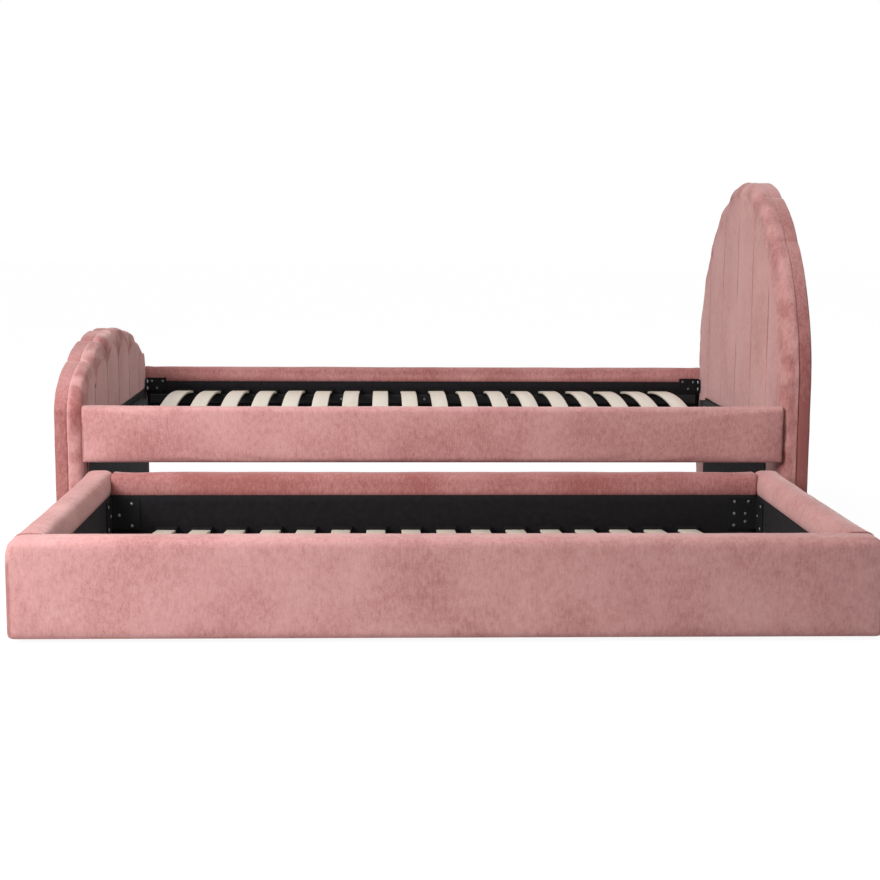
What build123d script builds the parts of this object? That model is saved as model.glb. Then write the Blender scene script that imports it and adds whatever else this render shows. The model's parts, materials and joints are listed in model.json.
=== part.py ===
import os
from math import acos, cos, pi, sin

from build123d import *

os.makedirs("parts", exist_ok=True)

# An upholstered trundle bed, drawn with the trundle rolled out in front.
# X runs from the footboard to the headboard, Y from the open trundle towards the back rail, Z up.
# The origin is on the floor under the middle of the whole outline. Lengths are in millimetres.

# Driving sizes of the bed
rail_length = 2050
bed_width = 1310
board_thickness = 90
floor_gap = 8

# Side rails of the bed
rail_bottom = 260
rail_top = 429
rail_thickness = 52
rail_core_thickness = 32
rail_top_pad = 9
rail_bottom_pad = 5
rail_edge_radius = 7
rail_foot_radius = 5
rail_skirt_bottom = 375
rail_end_gap = 0.3

# Driving sizes of the trundle
trundle_end_gap = 5
trundle_depth = 1016
trundle_bottom = 12
trundle_top = 248
trundle_long_thickness = 80
trundle_side_thickness = 86
trundle_core_thickness = 30
trundle_top_pad = 12
trundle_bottom_pad = 5
trundle_edge_radius = 16
trundle_corner_radius = 32
trundle_front_radius = 10
trundle_end_radius = 4.5
trundle_skirt_bottom = 186
trundle_joint_gap = 0.3
pull_out = 1055

# Linings are black cloth on the faces that point inwards
lining_thickness = 2
lining_foot_margin = 12
lining_recess = 3

# Padded boards at the head and the foot
board_pad_thickness = 52
board_skin_thickness = 3
border_thickness = 6
channel_count = 6
arch_power = 1.84
head_spring = 482
head_top = 1094
head_bulge = 9
head_pad_clearance = 5
head_leg_width = 180
foot_spring = 402
foot_top = 598
foot_bulge = 12
foot_pad_clearance = 25
foot_leg_width = 48
seam_inset = 11
roll_inset = 22
pad_depth_shares = (0, 0.52, 0.78, 0.93, 1)
pad_inset_shares = (0, 0, 0.14, 0.44, 1)
seam_inset_shares = (0, 0, 0.1, 0.38, 1)
outer_curve_count = 8
inner_curve_count = 5

# Glides under the boards
glide_radius = 16
glide_edge_distance = 90

# Sprung slats of the bed, in two rows that meet over the centre rail
slat_thickness = 8
slat_width = 54
slat_count = 18
slat_foot_room = 118.45
slat_head_room = 138.45
slat_camber = 22
slat_rise = 70
holder_floor = 3
holder_wall = 3
holder_depth = 34
holder_height = 20
holder_side_wall = 3
holder_gap = 0.4
holder_edge_radius = 2

# Sprung slats of the trundle, in one row
trundle_slat_count = 16
trundle_slat_foot_room = 133
trundle_slat_head_room = 181
trundle_slat_camber = 25
trundle_slat_rise = 67

# Battens that carry the slats
ledge_depth = 24
ledge_height = 30
ledge_edge_radius = 2
ledge_end_gap = 12
ledge_screw_count = 7
ledge_screw_margin = 90

# Cross battens on the boards and the steel rail down the middle
cross_batten_depth = 28
cross_batten_gap = 1
centre_rail_width = 40
centre_rail_wall = 2
hanger_wall = 3
hanger_gap = 0.2
hanger_length = 30
hanger_ear = 18

# Angle brackets and their screws
bracket_thickness = 3
bed_bracket_leg = 70
bed_bracket_board_leg = 50
bed_bracket_gap = 10
bed_bracket_height = 48
trundle_bracket_leg = 82
trundle_bracket_gap = 7
trundle_bracket_height = 92
triangle_shares = ((0.72, 0.82), (0.28, 0.46), (0.72, 0.12))
bed_screw_shares = ((0.2, 0.74), (0.8, 0.74), (0.48, 0.2))
six_shares = ((0.8, 0.88), (0.8, 0.5), (0.8, 0.12), (0.3, 0.88), (0.4, 0.5), (0.4, 0.24))
bolt_shares = ((0.56, 0.24), (0.56, 0.76))
screw_head_radius = 4.5
screw_head_height = 2.2
screw_crown_radius = 2.8
screw_radius = 2.2
bracket_screw_length = 40
batten_screw_length = 60
hanger_screw_length = 25
castor_screw_length = 45
bolt_head_radius = 7
bolt_head_height = 5
bolt_crown_radius = 5.5
bolt_radius = 4
bolt_length = 84
hole_gap = 0.1

# Castors inside the trundle's corners
wheel_radius = 25
wheel_width = 18
wheel_edge_radius = 3
wheel_dish_depth = 4
wheel_dish_radius = 18
wheel_hub_radius = 9
axle_radius = 4
axle_head_radius = 6.5
axle_head_height = 2
running_gap = 0.05
wheel_side_gap = 1.5
castor_wall = 2.5
castor_length = 44
castor_crown_gap = 4
castor_axle_drop = 10
castor_plate_height = 84
castor_corner_distance = 130
castor_screw_shares = ((-0.28, 0.85), (0.28, 0.85))

# Places worked out from the sizes above
half_rail = rail_length / 2
half_width = bed_width / 2
total_depth = pull_out + bed_width
trundle_front = -total_depth / 2
bed_front = trundle_front + pull_out
bed_back = total_depth / 2
bed_middle = (bed_front + bed_back) / 2
front_inner = bed_front + rail_thickness
back_inner = bed_back - rail_thickness
board_core_start = half_rail + board_pad_thickness
board_core_thickness = board_thickness - board_pad_thickness - board_skin_thickness
channel_width = bed_width / channel_count
core_curve_count = 2 * outer_curve_count + 1
slat_end_height = rail_bottom + slat_rise
trundle_slat_end_height = trundle_bottom + trundle_slat_rise
ledge_top = slat_end_height - holder_floor
head_pad_bottom = ledge_top + head_pad_clearance
foot_pad_bottom = ledge_top + foot_pad_clearance
bed_bracket_bottom = slat_end_height + bed_bracket_gap
trundle_bracket_bottom = trundle_slat_end_height + trundle_bracket_gap
board_lining_face = half_rail + lining_recess
board_block_face = board_lining_face + lining_thickness
trundle_rear = trundle_front + trundle_depth
trundle_half = half_rail - trundle_end_gap
trundle_inner_half = trundle_half - trundle_side_thickness
trundle_front_inner = trundle_front + trundle_long_thickness
trundle_rear_inner = trundle_rear - trundle_long_thickness
trundle_ledge_top = trundle_slat_end_height - holder_floor
cross_batten_length = bed_width - 2 * channel_width - 2 * cross_batten_gap
castor_foot = wheel_radius - castor_axle_drop
castor_middles = (trundle_front_inner + castor_corner_distance, trundle_rear_inner - castor_corner_distance)

turns = {"+X": (0, 90, 0), "-X": (0, -90, 0), "+Y": (-90, 0, 0), "-Y": (90, 0, 0)}
bed_wall = {"bottom": rail_bottom, "top": rail_top, "core": rail_core_thickness,
            "bottom pad": rail_bottom_pad, "top pad": rail_top_pad, "skirt": rail_skirt_bottom,
            "radius": rail_edge_radius}
trundle_wall = {"bottom": trundle_bottom, "top": trundle_top, "core": trundle_core_thickness,
                "bottom pad": trundle_bottom_pad, "top pad": trundle_top_pad,
                "skirt": trundle_skirt_bottom, "radius": trundle_edge_radius}


def finish(part, name):
    part.label = name
    export_step(part, "parts/" + name + ".step")


# Padded boards. An arch is a superellipse that stands on two straight sides, and each channel
# of the pad swells a little past it, so the seams meet the edge in small notches.


def arch_angle(offset, half):
    share = min(abs(offset) / half, 1)
    angle = acos(share ** (arch_power / 2))
    return angle if offset >= 0 else pi - angle


def arch_point(angle, half, spring, top):
    across, up = cos(angle), sin(angle)
    power = 2 / arch_power
    side = half * abs(across) ** power * (1 if across >= 0 else -1)
    return side, spring + (top - spring) * abs(up) ** power


def swollen_points(start, end, count, half, spring, top, bulge):
    # Points along the arch from one seam to the next, lifted off the arch by the swelling
    points = []
    first, last = arch_angle(start, half), arch_angle(end, half)
    for step in range(count):
        share = step / (count - 1)
        side, height = arch_point(first + (last - first) * share, half, spring, top)
        points.append((bed_middle + side, height + bulge * sin(pi * share)))
    return points


def channel_points(number, inset, seam, spring, top, bulge):
    # The top edge of one channel, with the arch drawn in by inset and the seams by seam
    half = half_width - inset
    start = max(-half_width + number * channel_width + seam, -half)
    end = min(-half_width + (number + 1) * channel_width - seam, half)
    outer = number in (0, channel_count - 1)
    count = outer_curve_count if outer else inner_curve_count
    return swollen_points(start, end, count, half, spring, top - inset, bulge)


def channel_foot(number, start, end, seam, inner_bottom, leg_width):
    # The lower corners of a channel. The two outer ones go on down to the floor as a leg.
    low, high = floor_gap + seam, inner_bottom + seam
    if number == 0:
        leg = bed_middle - half_width + leg_width - seam
        return [(end, high), (leg, high), (leg, low), (start, low)]
    if number == channel_count - 1:
        leg = bed_middle + half_width - leg_width + seam
        return [(end, low), (leg, low), (leg, high), (start, high)]
    return [(end, high), (start, high)]


def board_pad(side, spring, top, bulge, inner_bottom, leg_width):
    with BuildPart() as pad:
        for number in range(channel_count):
            for depth, roll, tuck in zip(pad_depth_shares, pad_inset_shares, seam_inset_shares):
                inset, seam = roll * roll_inset, tuck * seam_inset
                curve = channel_points(number, inset, seam, spring, top, bulge)
                foot = channel_foot(number, curve[0][0], curve[-1][0], seam, inner_bottom, leg_width)
                place = side * (half_rail + board_pad_thickness * (1 - depth))
                with BuildSketch(Plane.YZ.offset(place)):
                    with BuildLine():
                        Spline(*curve)
                        Polyline(curve[-1], *foot, curve[0])
                    make_face()
            loft(ruled=True)
        cut_holes(board_bolt_places(side), bolt_length, bolt_radius)
    return pad.part


def board_edge(spring, top, bulge):
    # The whole scalloped outline of a board, from floor to floor
    with BuildLine() as outline:
        ends = []
        for number in range(channel_count):
            curve = channel_points(number, 0, 0, spring, top, bulge)
            Spline(*curve)
            ends += [curve[0], curve[-1]]
        Polyline(ends[-1], (ends[-1][0], floor_gap), (ends[0][0], floor_gap), ends[0])
    make_face(outline.edges())


def core_edge(spring, top, mode=Mode.ADD):
    # The smooth arch of the wooden board inside the padding
    with BuildLine() as outline:
        half = half_width - border_thickness
        curve = swollen_points(-half, half, core_curve_count, half, spring, top - border_thickness, 0)
        Spline(*curve)
        Polyline(curve[-1], (curve[-1][0], floor_gap), (curve[0][0], floor_gap), curve[0])
    make_face(outline.edges(), mode=mode)


def board_core(side, spring, top, inner_bottom, leg_width):
    # The wooden board, with a block between the legs that brings the lining out to the rails
    with BuildPart() as core:
        with BuildSketch(Plane.YZ.offset(side * board_core_start)):
            core_edge(spring, top)
        extrude(amount=side * board_core_thickness)
        with BuildSketch(Plane.YZ.offset(side * board_block_face)) as block:
            lining_outline(inner_bottom, leg_width)
        extrude(block.sketch, amount=side * (board_core_start - board_block_face))
        cut_holes(board_bolt_places(side), bolt_length, bolt_radius)
        cut_holes(cross_batten_places(side), batten_screw_length)
    return core.part


def board_border(side, spring, top, bulge):
    with BuildPart() as border:
        with BuildSketch(Plane.YZ.offset(side * board_core_start)):
            board_edge(spring, top, bulge)
            core_edge(spring, top, Mode.SUBTRACT)
        extrude(amount=side * (board_core_thickness + board_skin_thickness))
    return border.part


def board_skin(side, spring, top):
    with BuildPart() as skin:
        with BuildSketch(Plane.YZ.offset(side * (board_core_start + board_core_thickness))):
            core_edge(spring, top)
        extrude(amount=side * board_skin_thickness)
    return skin.part


def lining_outline(inner_bottom, leg_width):
    # The area under the channels and between the legs
    height = inner_bottom - floor_gap - rail_end_gap
    with Locations((bed_middle, floor_gap + height / 2)):
        Rectangle(bed_width - 2 * leg_width - 2 * rail_end_gap, height)


def board_lining(side, inner_bottom, leg_width):
    with BuildPart() as lining:
        with BuildSketch(Plane.YZ.offset(side * board_lining_face)):
            lining_outline(inner_bottom, leg_width)
        extrude(amount=side * lining_thickness)
        cut_holes(board_bolt_places(side), bolt_length, bolt_radius)
        cut_holes(cross_batten_places(side), batten_screw_length)
    return lining.part


def board_glides(side):
    middle = side * (board_core_start + board_core_thickness / 2)
    offset = half_width - glide_edge_distance
    with BuildPart() as glides:
        with BuildSketch():
            with Locations((middle, bed_middle - offset), (middle, bed_middle + offset)):
                Circle(glide_radius)
        extrude(amount=floor_gap)
    return glides.part


# Fasteners. A place is a point on the carrying face, and its Z axis points out of that face.


def fasteners(places, head_radius, crown_radius, head_height, radius, length):
    with BuildPart() as group:
        with Locations(*places):
            Cone(head_radius, crown_radius, head_height, align=(Align.CENTER, Align.CENTER, Align.MIN))
            Cylinder(radius, length, align=(Align.CENTER, Align.CENTER, Align.MAX))
    return group.part


def screws(places, length):
    return fasteners(places, screw_head_radius, screw_crown_radius, screw_head_height,
                     screw_radius, length)


def cut_holes(places, length, radius=screw_radius):
    with Locations(*places):
        Cylinder(radius + hole_gap, length + hole_gap, align=(Align.CENTER, Align.CENTER, Align.MAX),
                 mode=Mode.SUBTRACT)


def facing_y(inward):
    return turns["+Y"] if inward > 0 else turns["-Y"]


def facing_x(inward):
    return turns["+X"] if inward > 0 else turns["-X"]


def board_bolt_places(side):
    face = side * (half_rail - bracket_thickness)
    places = []
    for wall, inward in ((front_inner, 1), (back_inner, -1)):
        for across, up in bolt_shares:
            spot = (face, wall + inward * across * bed_bracket_board_leg,
                    bed_bracket_bottom + up * bed_bracket_height)
            places.append(Location(spot, facing_x(-side)))
    return places


def cross_batten_places(side):
    face = side * (board_lining_face - cross_batten_depth)
    height = ledge_top - ledge_height / 2
    reach = cross_batten_length / 2 - ledge_screw_margin
    return [Location((face, bed_middle + offset, height), facing_x(-side)) for offset in (-reach, reach)]


def hanger_places(side):
    face = side * (board_lining_face - cross_batten_depth - hanger_wall)
    offset = centre_rail_width / 2 + hanger_gap + hanger_wall + hanger_ear / 2
    height = ledge_top - ledge_height / 2
    return [Location((face, bed_middle + across, height), facing_x(-side)) for across in (-offset, offset)]


def rail_screw_places(wall, inward):
    places = []
    for side in (-1, 1):
        for along, up in bed_screw_shares:
            spot = (side * (half_rail - bracket_thickness - along * (bed_bracket_leg - bracket_thickness)),
                    wall + inward * bracket_thickness, bed_bracket_bottom + up * bed_bracket_height)
            places.append(Location(spot, facing_y(inward)))
    return places


def ledge_screw_places(wall, inward, length, top):
    step = (length - 2 * ledge_screw_margin) / (ledge_screw_count - 1)
    start = -length / 2 + ledge_screw_margin
    return [Location((start + number * step, wall + inward * ledge_depth, top - ledge_height / 2),
                     facing_y(inward)) for number in range(ledge_screw_count)]


def trundle_wall_places(wall, inward, foot_shares, head_shares):
    places = []
    for side, shares in ((-1, foot_shares), (1, head_shares)):
        for along, up in shares:
            spot = (side * (trundle_inner_half - along * trundle_bracket_leg),
                    wall + inward * bracket_thickness,
                    trundle_bracket_bottom + up * trundle_bracket_height)
            places.append(Location(spot, facing_y(inward)))
    return places


def trundle_side_places(side):
    places = []
    for wall, inward in ((trundle_front_inner, 1), (trundle_rear_inner, -1)):
        for along, up in triangle_shares:
            spot = (side * (trundle_inner_half - bracket_thickness),
                    wall + inward * along * trundle_bracket_leg,
                    trundle_bracket_bottom + up * trundle_bracket_height)
            places.append(Location(spot, facing_x(-side)))
    return places


def castor_screw_places(side):
    face = side * (trundle_inner_half - castor_wall)
    return [Location((face, middle + along * castor_length, castor_foot + up * castor_plate_height),
                     facing_x(-side)) for middle in castor_middles for along, up in castor_screw_shares]


# Padded rails. Padding goes all round a wooden core, and the inner face has a shallow step for
# the lining. A rail runs along X or Y, and its section lies between an outer and an inner face.


def run_plane(axis, start):
    return Plane.YZ.offset(start) if axis == "X" else Plane.XZ.offset(-start)


def bar(axis, start, end, left, right, bottom, top, mode=Mode.ADD):
    with BuildSketch(run_plane(axis, start)) as section:
        with Locations(((left + right) / 2, (bottom + top) / 2)):
            Rectangle(abs(right - left), top - bottom)
    extrude(section.sketch, amount=(end - start) * (1 if axis == "X" else -1), mode=mode)


def rail_shell(axis, start, end, outer, inner, wall):
    with BuildSketch(run_plane(axis, start)) as section:
        with Locations(((outer + inner) / 2, (wall["bottom"] + wall["top"]) / 2)):
            Rectangle(abs(inner - outer), wall["top"] - wall["bottom"])
        fillet(vertices().group_by(Axis.Y)[-1], wall["radius"])
        fillet(vertices().group_by(Axis.Y)[0], rail_foot_radius)
    extrude(section.sketch, amount=(end - start) * (1 if axis == "X" else -1))


def hollow_out(axis, start, end, caps, lining, outer, inner, wall, mode=Mode.SUBTRACT):
    # The room that the core and the lining take in the padding
    core_bar(axis, start, end, caps, outer, inner, wall, mode)
    lining_bar(axis, lining, outer, inner, wall, mode)


def core_bar(axis, start, end, caps, outer, inner, wall, mode=Mode.ADD):
    middle = (outer + inner) / 2
    bar(axis, start + caps[0], end - caps[1], middle - wall["core"] / 2, middle + wall["core"] / 2,
        wall["bottom"] + wall["bottom pad"], wall["top"] - wall["top pad"], mode)


def lining_bar(axis, lining, outer, inner, wall, mode=Mode.ADD):
    step = lining_thickness if inner > outer else -lining_thickness
    bar(axis, lining[0], lining[1], inner - step, inner, wall["bottom"] + lining_foot_margin,
        wall["skirt"], mode)


def padded_rail(name, axis, start, end, caps, lining, outer, inner, wall, holes, shell=rail_shell):
    with BuildPart() as upholstery:
        shell(axis, start, end, outer, inner, wall)
        if shell is rail_shell and caps[1]:
            fillet(faces().sort_by(Axis.Y)[-1].edges(), trundle_end_radius)
        hollow_out(axis, start, end, caps, lining, outer, inner, wall)
        for places, length in holes:
            cut_holes(places, length)
    finish(upholstery.part, name + "_upholstery")

    with BuildPart() as core:
        core_bar(axis, start, end, caps, outer, inner, wall)
        for places, length in holes:
            cut_holes(places, length)
    finish(core.part, name + "_core")

    with BuildPart() as cloth:
        lining_bar(axis, lining, outer, inner, wall)
        for places, length in holes:
            cut_holes(places, length)
    finish(cloth.part, name + "_lining")


def front_shell(axis, start, end, outer, inner, wall):
    # The trundle's front panel, whose upper corners are sewn round
    with BuildSketch(run_plane("Y", outer)) as panel:
        with Locations(((start + end) / 2, (wall["bottom"] + wall["top"]) / 2)):
            Rectangle(end - start, wall["top"] - wall["bottom"])
        fillet(vertices().group_by(Axis.Y)[-1], trundle_corner_radius)
    extrude(panel.sketch, amount=outer - inner)
    rims = faces().filter_by(Axis.Y).edges()
    fillet(rims, trundle_front_radius)


def slat_ledge(inner, inward, half, top, places):
    with BuildPart() as ledge:
        with BuildSketch(Plane.YZ.offset(-half)):
            with Locations((inner + inward * ledge_depth / 2, top - ledge_height / 2)):
                RectangleRounded(ledge_depth, ledge_height, ledge_edge_radius)
        extrude(amount=2 * half)
        cut_holes(places, batten_screw_length)
    return ledge.part


# Slats bow upwards between moulded holders that stand on the battens.


def slat_side(start, end, bottom, camber, grow=0):
    low, high = bottom - grow, bottom + slat_thickness + grow
    start, end, middle = start - grow, end + grow, (start + end) / 2
    with BuildLine() as outline:
        ThreePointArc((start, low), (middle, low + camber), (end, low))
        Line((end, low), (end, high))
        ThreePointArc((end, high), (middle, high + camber), (start, high))
        Line((start, high), (start, low))
    make_face(outline.edges())


def along_row(count, half, foot_room, head_room):
    # The slats stand evenly between the room left at the foot and the room left at the head
    first, last = slat_width / 2 + foot_room - half, half - head_room - slat_width / 2
    return [(first + (last - first) * number / (count - 1), 0, 0) for number in range(count)]


def slat_row(places, start, end, bottom, camber):
    with BuildPart() as slat:
        with BuildSketch(Plane.YZ.offset(-slat_width / 2)):
            slat_side(start, end, bottom, camber)
        extrude(amount=slat_width)
    with BuildPart() as row:
        with Locations(*places):
            add(slat.part)
    return row.part


def holder_row(places, left, right, slats, bottom, camber):
    # One holder has a pocket for each slat that ends in it
    width = slat_width + 2 * holder_gap
    outer_width = width + 2 * holder_side_wall
    floor = bottom - holder_floor
    with BuildPart() as holder:
        with BuildSketch(Plane.YZ.offset(-outer_width / 2)):
            with Locations(((left + right) / 2, floor + holder_height / 2)):
                Rectangle(right - left, holder_height)
            fillet(vertices().group_by(Axis.Y)[-1], holder_edge_radius)
        extrude(amount=outer_width)
        for start, end in slats:
            with BuildSketch(Plane.YZ.offset(-width / 2)):
                slat_side(start, end, bottom, camber, holder_gap)
            extrude(amount=width, mode=Mode.SUBTRACT)
    with BuildPart() as row:
        with Locations(*places):
            add(holder.part)
    return row.part


def angle_brackets(corners, leg_x, leg_y, bottom, height, holes):
    with BuildPart() as brackets:
        for x, y, inward_x, inward_y in corners:
            with BuildSketch(Plane.XY.offset(bottom)):
                with Locations((x + inward_x * leg_x / 2, y + inward_y * bracket_thickness / 2)):
                    Rectangle(leg_x, bracket_thickness)
                with Locations((x + inward_x * bracket_thickness / 2, y + inward_y * leg_y / 2)):
                    Rectangle(bracket_thickness, leg_y)
            extrude(amount=height)
        for places, length, radius in holes:
            cut_holes(places, length, radius)
    return brackets.part


# The two boards

boards = {"headboard": (1, head_spring, head_top, head_bulge, head_pad_bottom, head_leg_width),
          "footboard": (-1, foot_spring, foot_top, foot_bulge, foot_pad_bottom, foot_leg_width)}
skin_names = {"headboard": "headboard_back_cloth", "footboard": "footboard_outer_cover"}
for name, (side, spring, top, bulge, inner_bottom, leg_width) in boards.items():
    finish(board_core(side, spring, top, inner_bottom, leg_width), name + "_core")
    finish(board_border(side, spring, top, bulge), name + "_border")
    finish(board_pad(side, spring, top, bulge, inner_bottom, leg_width), name + "_pad")
    finish(board_skin(side, spring, top), skin_names[name])
    finish(board_lining(side, inner_bottom, leg_width), name + "_lining")
    finish(board_glides(side), name + "_glides")

# The side rails of the bed, with their battens

rail_start, rail_end = -half_rail + rail_end_gap, half_rail - rail_end_gap
ledge_half = half_rail - ledge_end_gap
front_screws = rail_screw_places(front_inner, 1)
back_screws = rail_screw_places(back_inner, -1)
front_ledge_screws = ledge_screw_places(front_inner, 1, 2 * ledge_half, ledge_top)
back_ledge_screws = ledge_screw_places(back_inner, -1, 2 * ledge_half, ledge_top)
padded_rail("front_rail", "X", rail_start, rail_end, (0, 0), (rail_start, rail_end), bed_front, front_inner,
            bed_wall, [(front_screws, bracket_screw_length), (front_ledge_screws, batten_screw_length)])
padded_rail("back_rail", "X", rail_start, rail_end, (0, 0), (rail_start, rail_end), bed_back, back_inner,
            bed_wall, [(back_screws, bracket_screw_length), (back_ledge_screws, batten_screw_length)])
finish(slat_ledge(front_inner, 1, ledge_half, ledge_top, front_ledge_screws), "front_slat_ledge")
finish(slat_ledge(back_inner, -1, ledge_half, ledge_top, back_ledge_screws), "back_slat_ledge")

# Cross battens, the rail down the middle and the stirrups that hold its ends

batten_near = board_lining_face - cross_batten_depth
for name, side in (("head_cross_batten", 1), ("foot_cross_batten", -1)):
    with BuildPart() as batten:
        bar("X", side * batten_near, side * board_lining_face, bed_middle - cross_batten_length / 2,
            bed_middle + cross_batten_length / 2, ledge_top - ledge_height, ledge_top)
        cut_holes(cross_batten_places(side), batten_screw_length)
        cut_holes(hanger_places(side), hanger_screw_length)
    finish(batten.part, name)

hanger_start = batten_near - hanger_wall
with BuildPart() as centre_rail:
    half = centre_rail_width / 2
    reach = hanger_start - hanger_gap
    wall = centre_rail_wall
    bar("X", -reach, reach, bed_middle - half, bed_middle + half, ledge_top - ledge_height, ledge_top)
    bar("X", -reach, reach, bed_middle - half + wall, bed_middle + half - wall,
        ledge_top - ledge_height + wall, ledge_top - wall, Mode.SUBTRACT)
finish(centre_rail.part, "centre_rail")

with BuildPart() as hangers:
    half = centre_rail_width / 2 + hanger_gap
    floor = ledge_top - ledge_height - hanger_gap
    for side in (-1, 1):
        inside, outside = side * (hanger_start - hanger_length), side * hanger_start
        bar("X", inside, outside, bed_middle - half - hanger_wall, bed_middle + half + hanger_wall,
            floor - hanger_wall, ledge_top)
        bar("X", inside, outside, bed_middle - half, bed_middle + half, floor, ledge_top, Mode.SUBTRACT)
        ear = half + hanger_wall + hanger_ear
        bar("X", outside, side * batten_near, bed_middle - ear, bed_middle + ear, floor - hanger_wall,
            ledge_top)
        cut_holes(hanger_places(side), hanger_screw_length)
finish(hangers.part, "centre_rail_hangers")

# Angle brackets, bolts and screws of the bed

bed_corners = [(side * half_rail, wall, -side, inward) for side in (-1, 1)
               for wall, inward in ((front_inner, 1), (back_inner, -1))]
bolts = board_bolt_places(-1) + board_bolt_places(1)
finish(angle_brackets(bed_corners, bed_bracket_leg, bed_bracket_board_leg, bed_bracket_bottom,
                      bed_bracket_height, [(front_screws + back_screws, bracket_screw_length, screw_radius),
                                           (bolts, bolt_length, bolt_radius)]), "corner_brackets")
finish(fasteners(bolts, bolt_head_radius, bolt_crown_radius, bolt_head_height, bolt_radius, bolt_length),
       "corner_bolts")
finish(screws(front_screws + back_screws, bracket_screw_length), "corner_screws")
with BuildPart() as batten_screws:
    add(screws(front_ledge_screws + back_ledge_screws + cross_batten_places(-1) + cross_batten_places(1),
               batten_screw_length))
    add(screws(hanger_places(-1) + hanger_places(1), hanger_screw_length))
finish(batten_screws.part, "batten_screws")

# Slats and holders of the bed

bed_places = along_row(slat_count, half_rail, slat_foot_room, slat_head_room)
front_row = (front_inner + holder_wall + holder_gap, bed_middle - holder_wall / 2 - holder_gap)
back_row = (bed_middle + holder_wall / 2 + holder_gap, back_inner - holder_wall - holder_gap)
finish(slat_row(bed_places, *front_row, slat_end_height, slat_camber), "bed_slats_front_row")
finish(slat_row(bed_places, *back_row, slat_end_height, slat_camber), "bed_slats_back_row")
holders = {"slat_holders_front": (front_inner, front_inner + holder_depth, [front_row]),
           "slat_holders_back": (back_inner - holder_depth, back_inner, [back_row]),
           "slat_holders_centre": (bed_middle - holder_depth, bed_middle + holder_depth,
                                   [front_row, back_row])}
for name, (left, right, rows) in holders.items():
    finish(holder_row(bed_places, left, right, rows, slat_end_height, slat_camber), name)

# The trundle's four walls

side_start = trundle_front_inner + trundle_joint_gap
rear_half = trundle_inner_half - trundle_joint_gap
between_sides = (-trundle_inner_half, trundle_inner_half)
between_ends = (trundle_front_inner, trundle_rear_inner)
trundle_front_places = trundle_wall_places(trundle_front_inner, 1, triangle_shares, triangle_shares)
trundle_rear_places = trundle_wall_places(trundle_rear_inner, -1, triangle_shares, six_shares)
trundle_ledge_half = trundle_inner_half - ledge_end_gap
trundle_front_ledge_screws = ledge_screw_places(trundle_front_inner, 1, 2 * trundle_ledge_half,
                                                trundle_ledge_top)
trundle_rear_ledge_screws = ledge_screw_places(trundle_rear_inner, -1, 2 * trundle_ledge_half,
                                               trundle_ledge_top)
padded_rail("trundle_front", "X", -trundle_half, trundle_half, (trundle_top_pad, trundle_top_pad),
            between_sides, trundle_front, trundle_front_inner, trundle_wall,
            [(trundle_front_places, bracket_screw_length),
             (trundle_front_ledge_screws, batten_screw_length)], front_shell)
padded_rail("trundle_rear", "X", -rear_half, rear_half, (0, 0), (-rear_half, rear_half), trundle_rear,
            trundle_rear_inner, trundle_wall, [(trundle_rear_places, bracket_screw_length),
                                               (trundle_rear_ledge_screws, batten_screw_length)])
for name, side in (("trundle_head_side", 1), ("trundle_foot_side", -1)):
    padded_rail(name, "Y", side_start, trundle_rear, (0, trundle_top_pad),
                (side_start, trundle_rear_inner), side * trundle_half, side * trundle_inner_half,
                trundle_wall, [(trundle_side_places(side), bracket_screw_length),
                               (castor_screw_places(side), castor_screw_length)])
finish(slat_ledge(trundle_front_inner, 1, trundle_ledge_half, trundle_ledge_top,
                  trundle_front_ledge_screws), "trundle_front_ledge")
finish(slat_ledge(trundle_rear_inner, -1, trundle_ledge_half, trundle_ledge_top,
                  trundle_rear_ledge_screws), "trundle_rear_ledge")

# Brackets and screws of the trundle

trundle_corners = [(side * trundle_inner_half, wall, -side, inward) for side in (-1, 1)
                   for wall, inward in ((trundle_front_inner, 1), (trundle_rear_inner, -1))]
wall_screws = (trundle_front_places + trundle_rear_places + trundle_side_places(-1)
               + trundle_side_places(1))
finish(angle_brackets(trundle_corners, trundle_bracket_leg, trundle_bracket_leg, trundle_bracket_bottom,
                      trundle_bracket_height, [(wall_screws, bracket_screw_length, screw_radius)]),
       "trundle_corner_brackets")
finish(screws(wall_screws, bracket_screw_length), "trundle_corner_screws")
finish(screws(trundle_front_ledge_screws + trundle_rear_ledge_screws, batten_screw_length),
       "trundle_ledge_screws")

# Slats and holders of the trundle

trundle_places = along_row(trundle_slat_count, trundle_inner_half, trundle_slat_foot_room,
                           trundle_slat_head_room)
trundle_row = (trundle_front_inner + holder_wall + holder_gap,
               trundle_rear_inner - holder_wall - holder_gap)
finish(slat_row(trundle_places, *trundle_row, trundle_slat_end_height, trundle_slat_camber),
       "trundle_slats")
with BuildPart() as trundle_holders:
    for left in (trundle_front_inner, trundle_rear_inner - holder_depth):
        add(holder_row(trundle_places, left, left + holder_depth, [trundle_row],
                       trundle_slat_end_height, trundle_slat_camber))
finish(trundle_holders.part, "trundle_slat_holders")

# Castors: a folded steel housing on each side wall near its ends, an axle and a wheel

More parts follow.
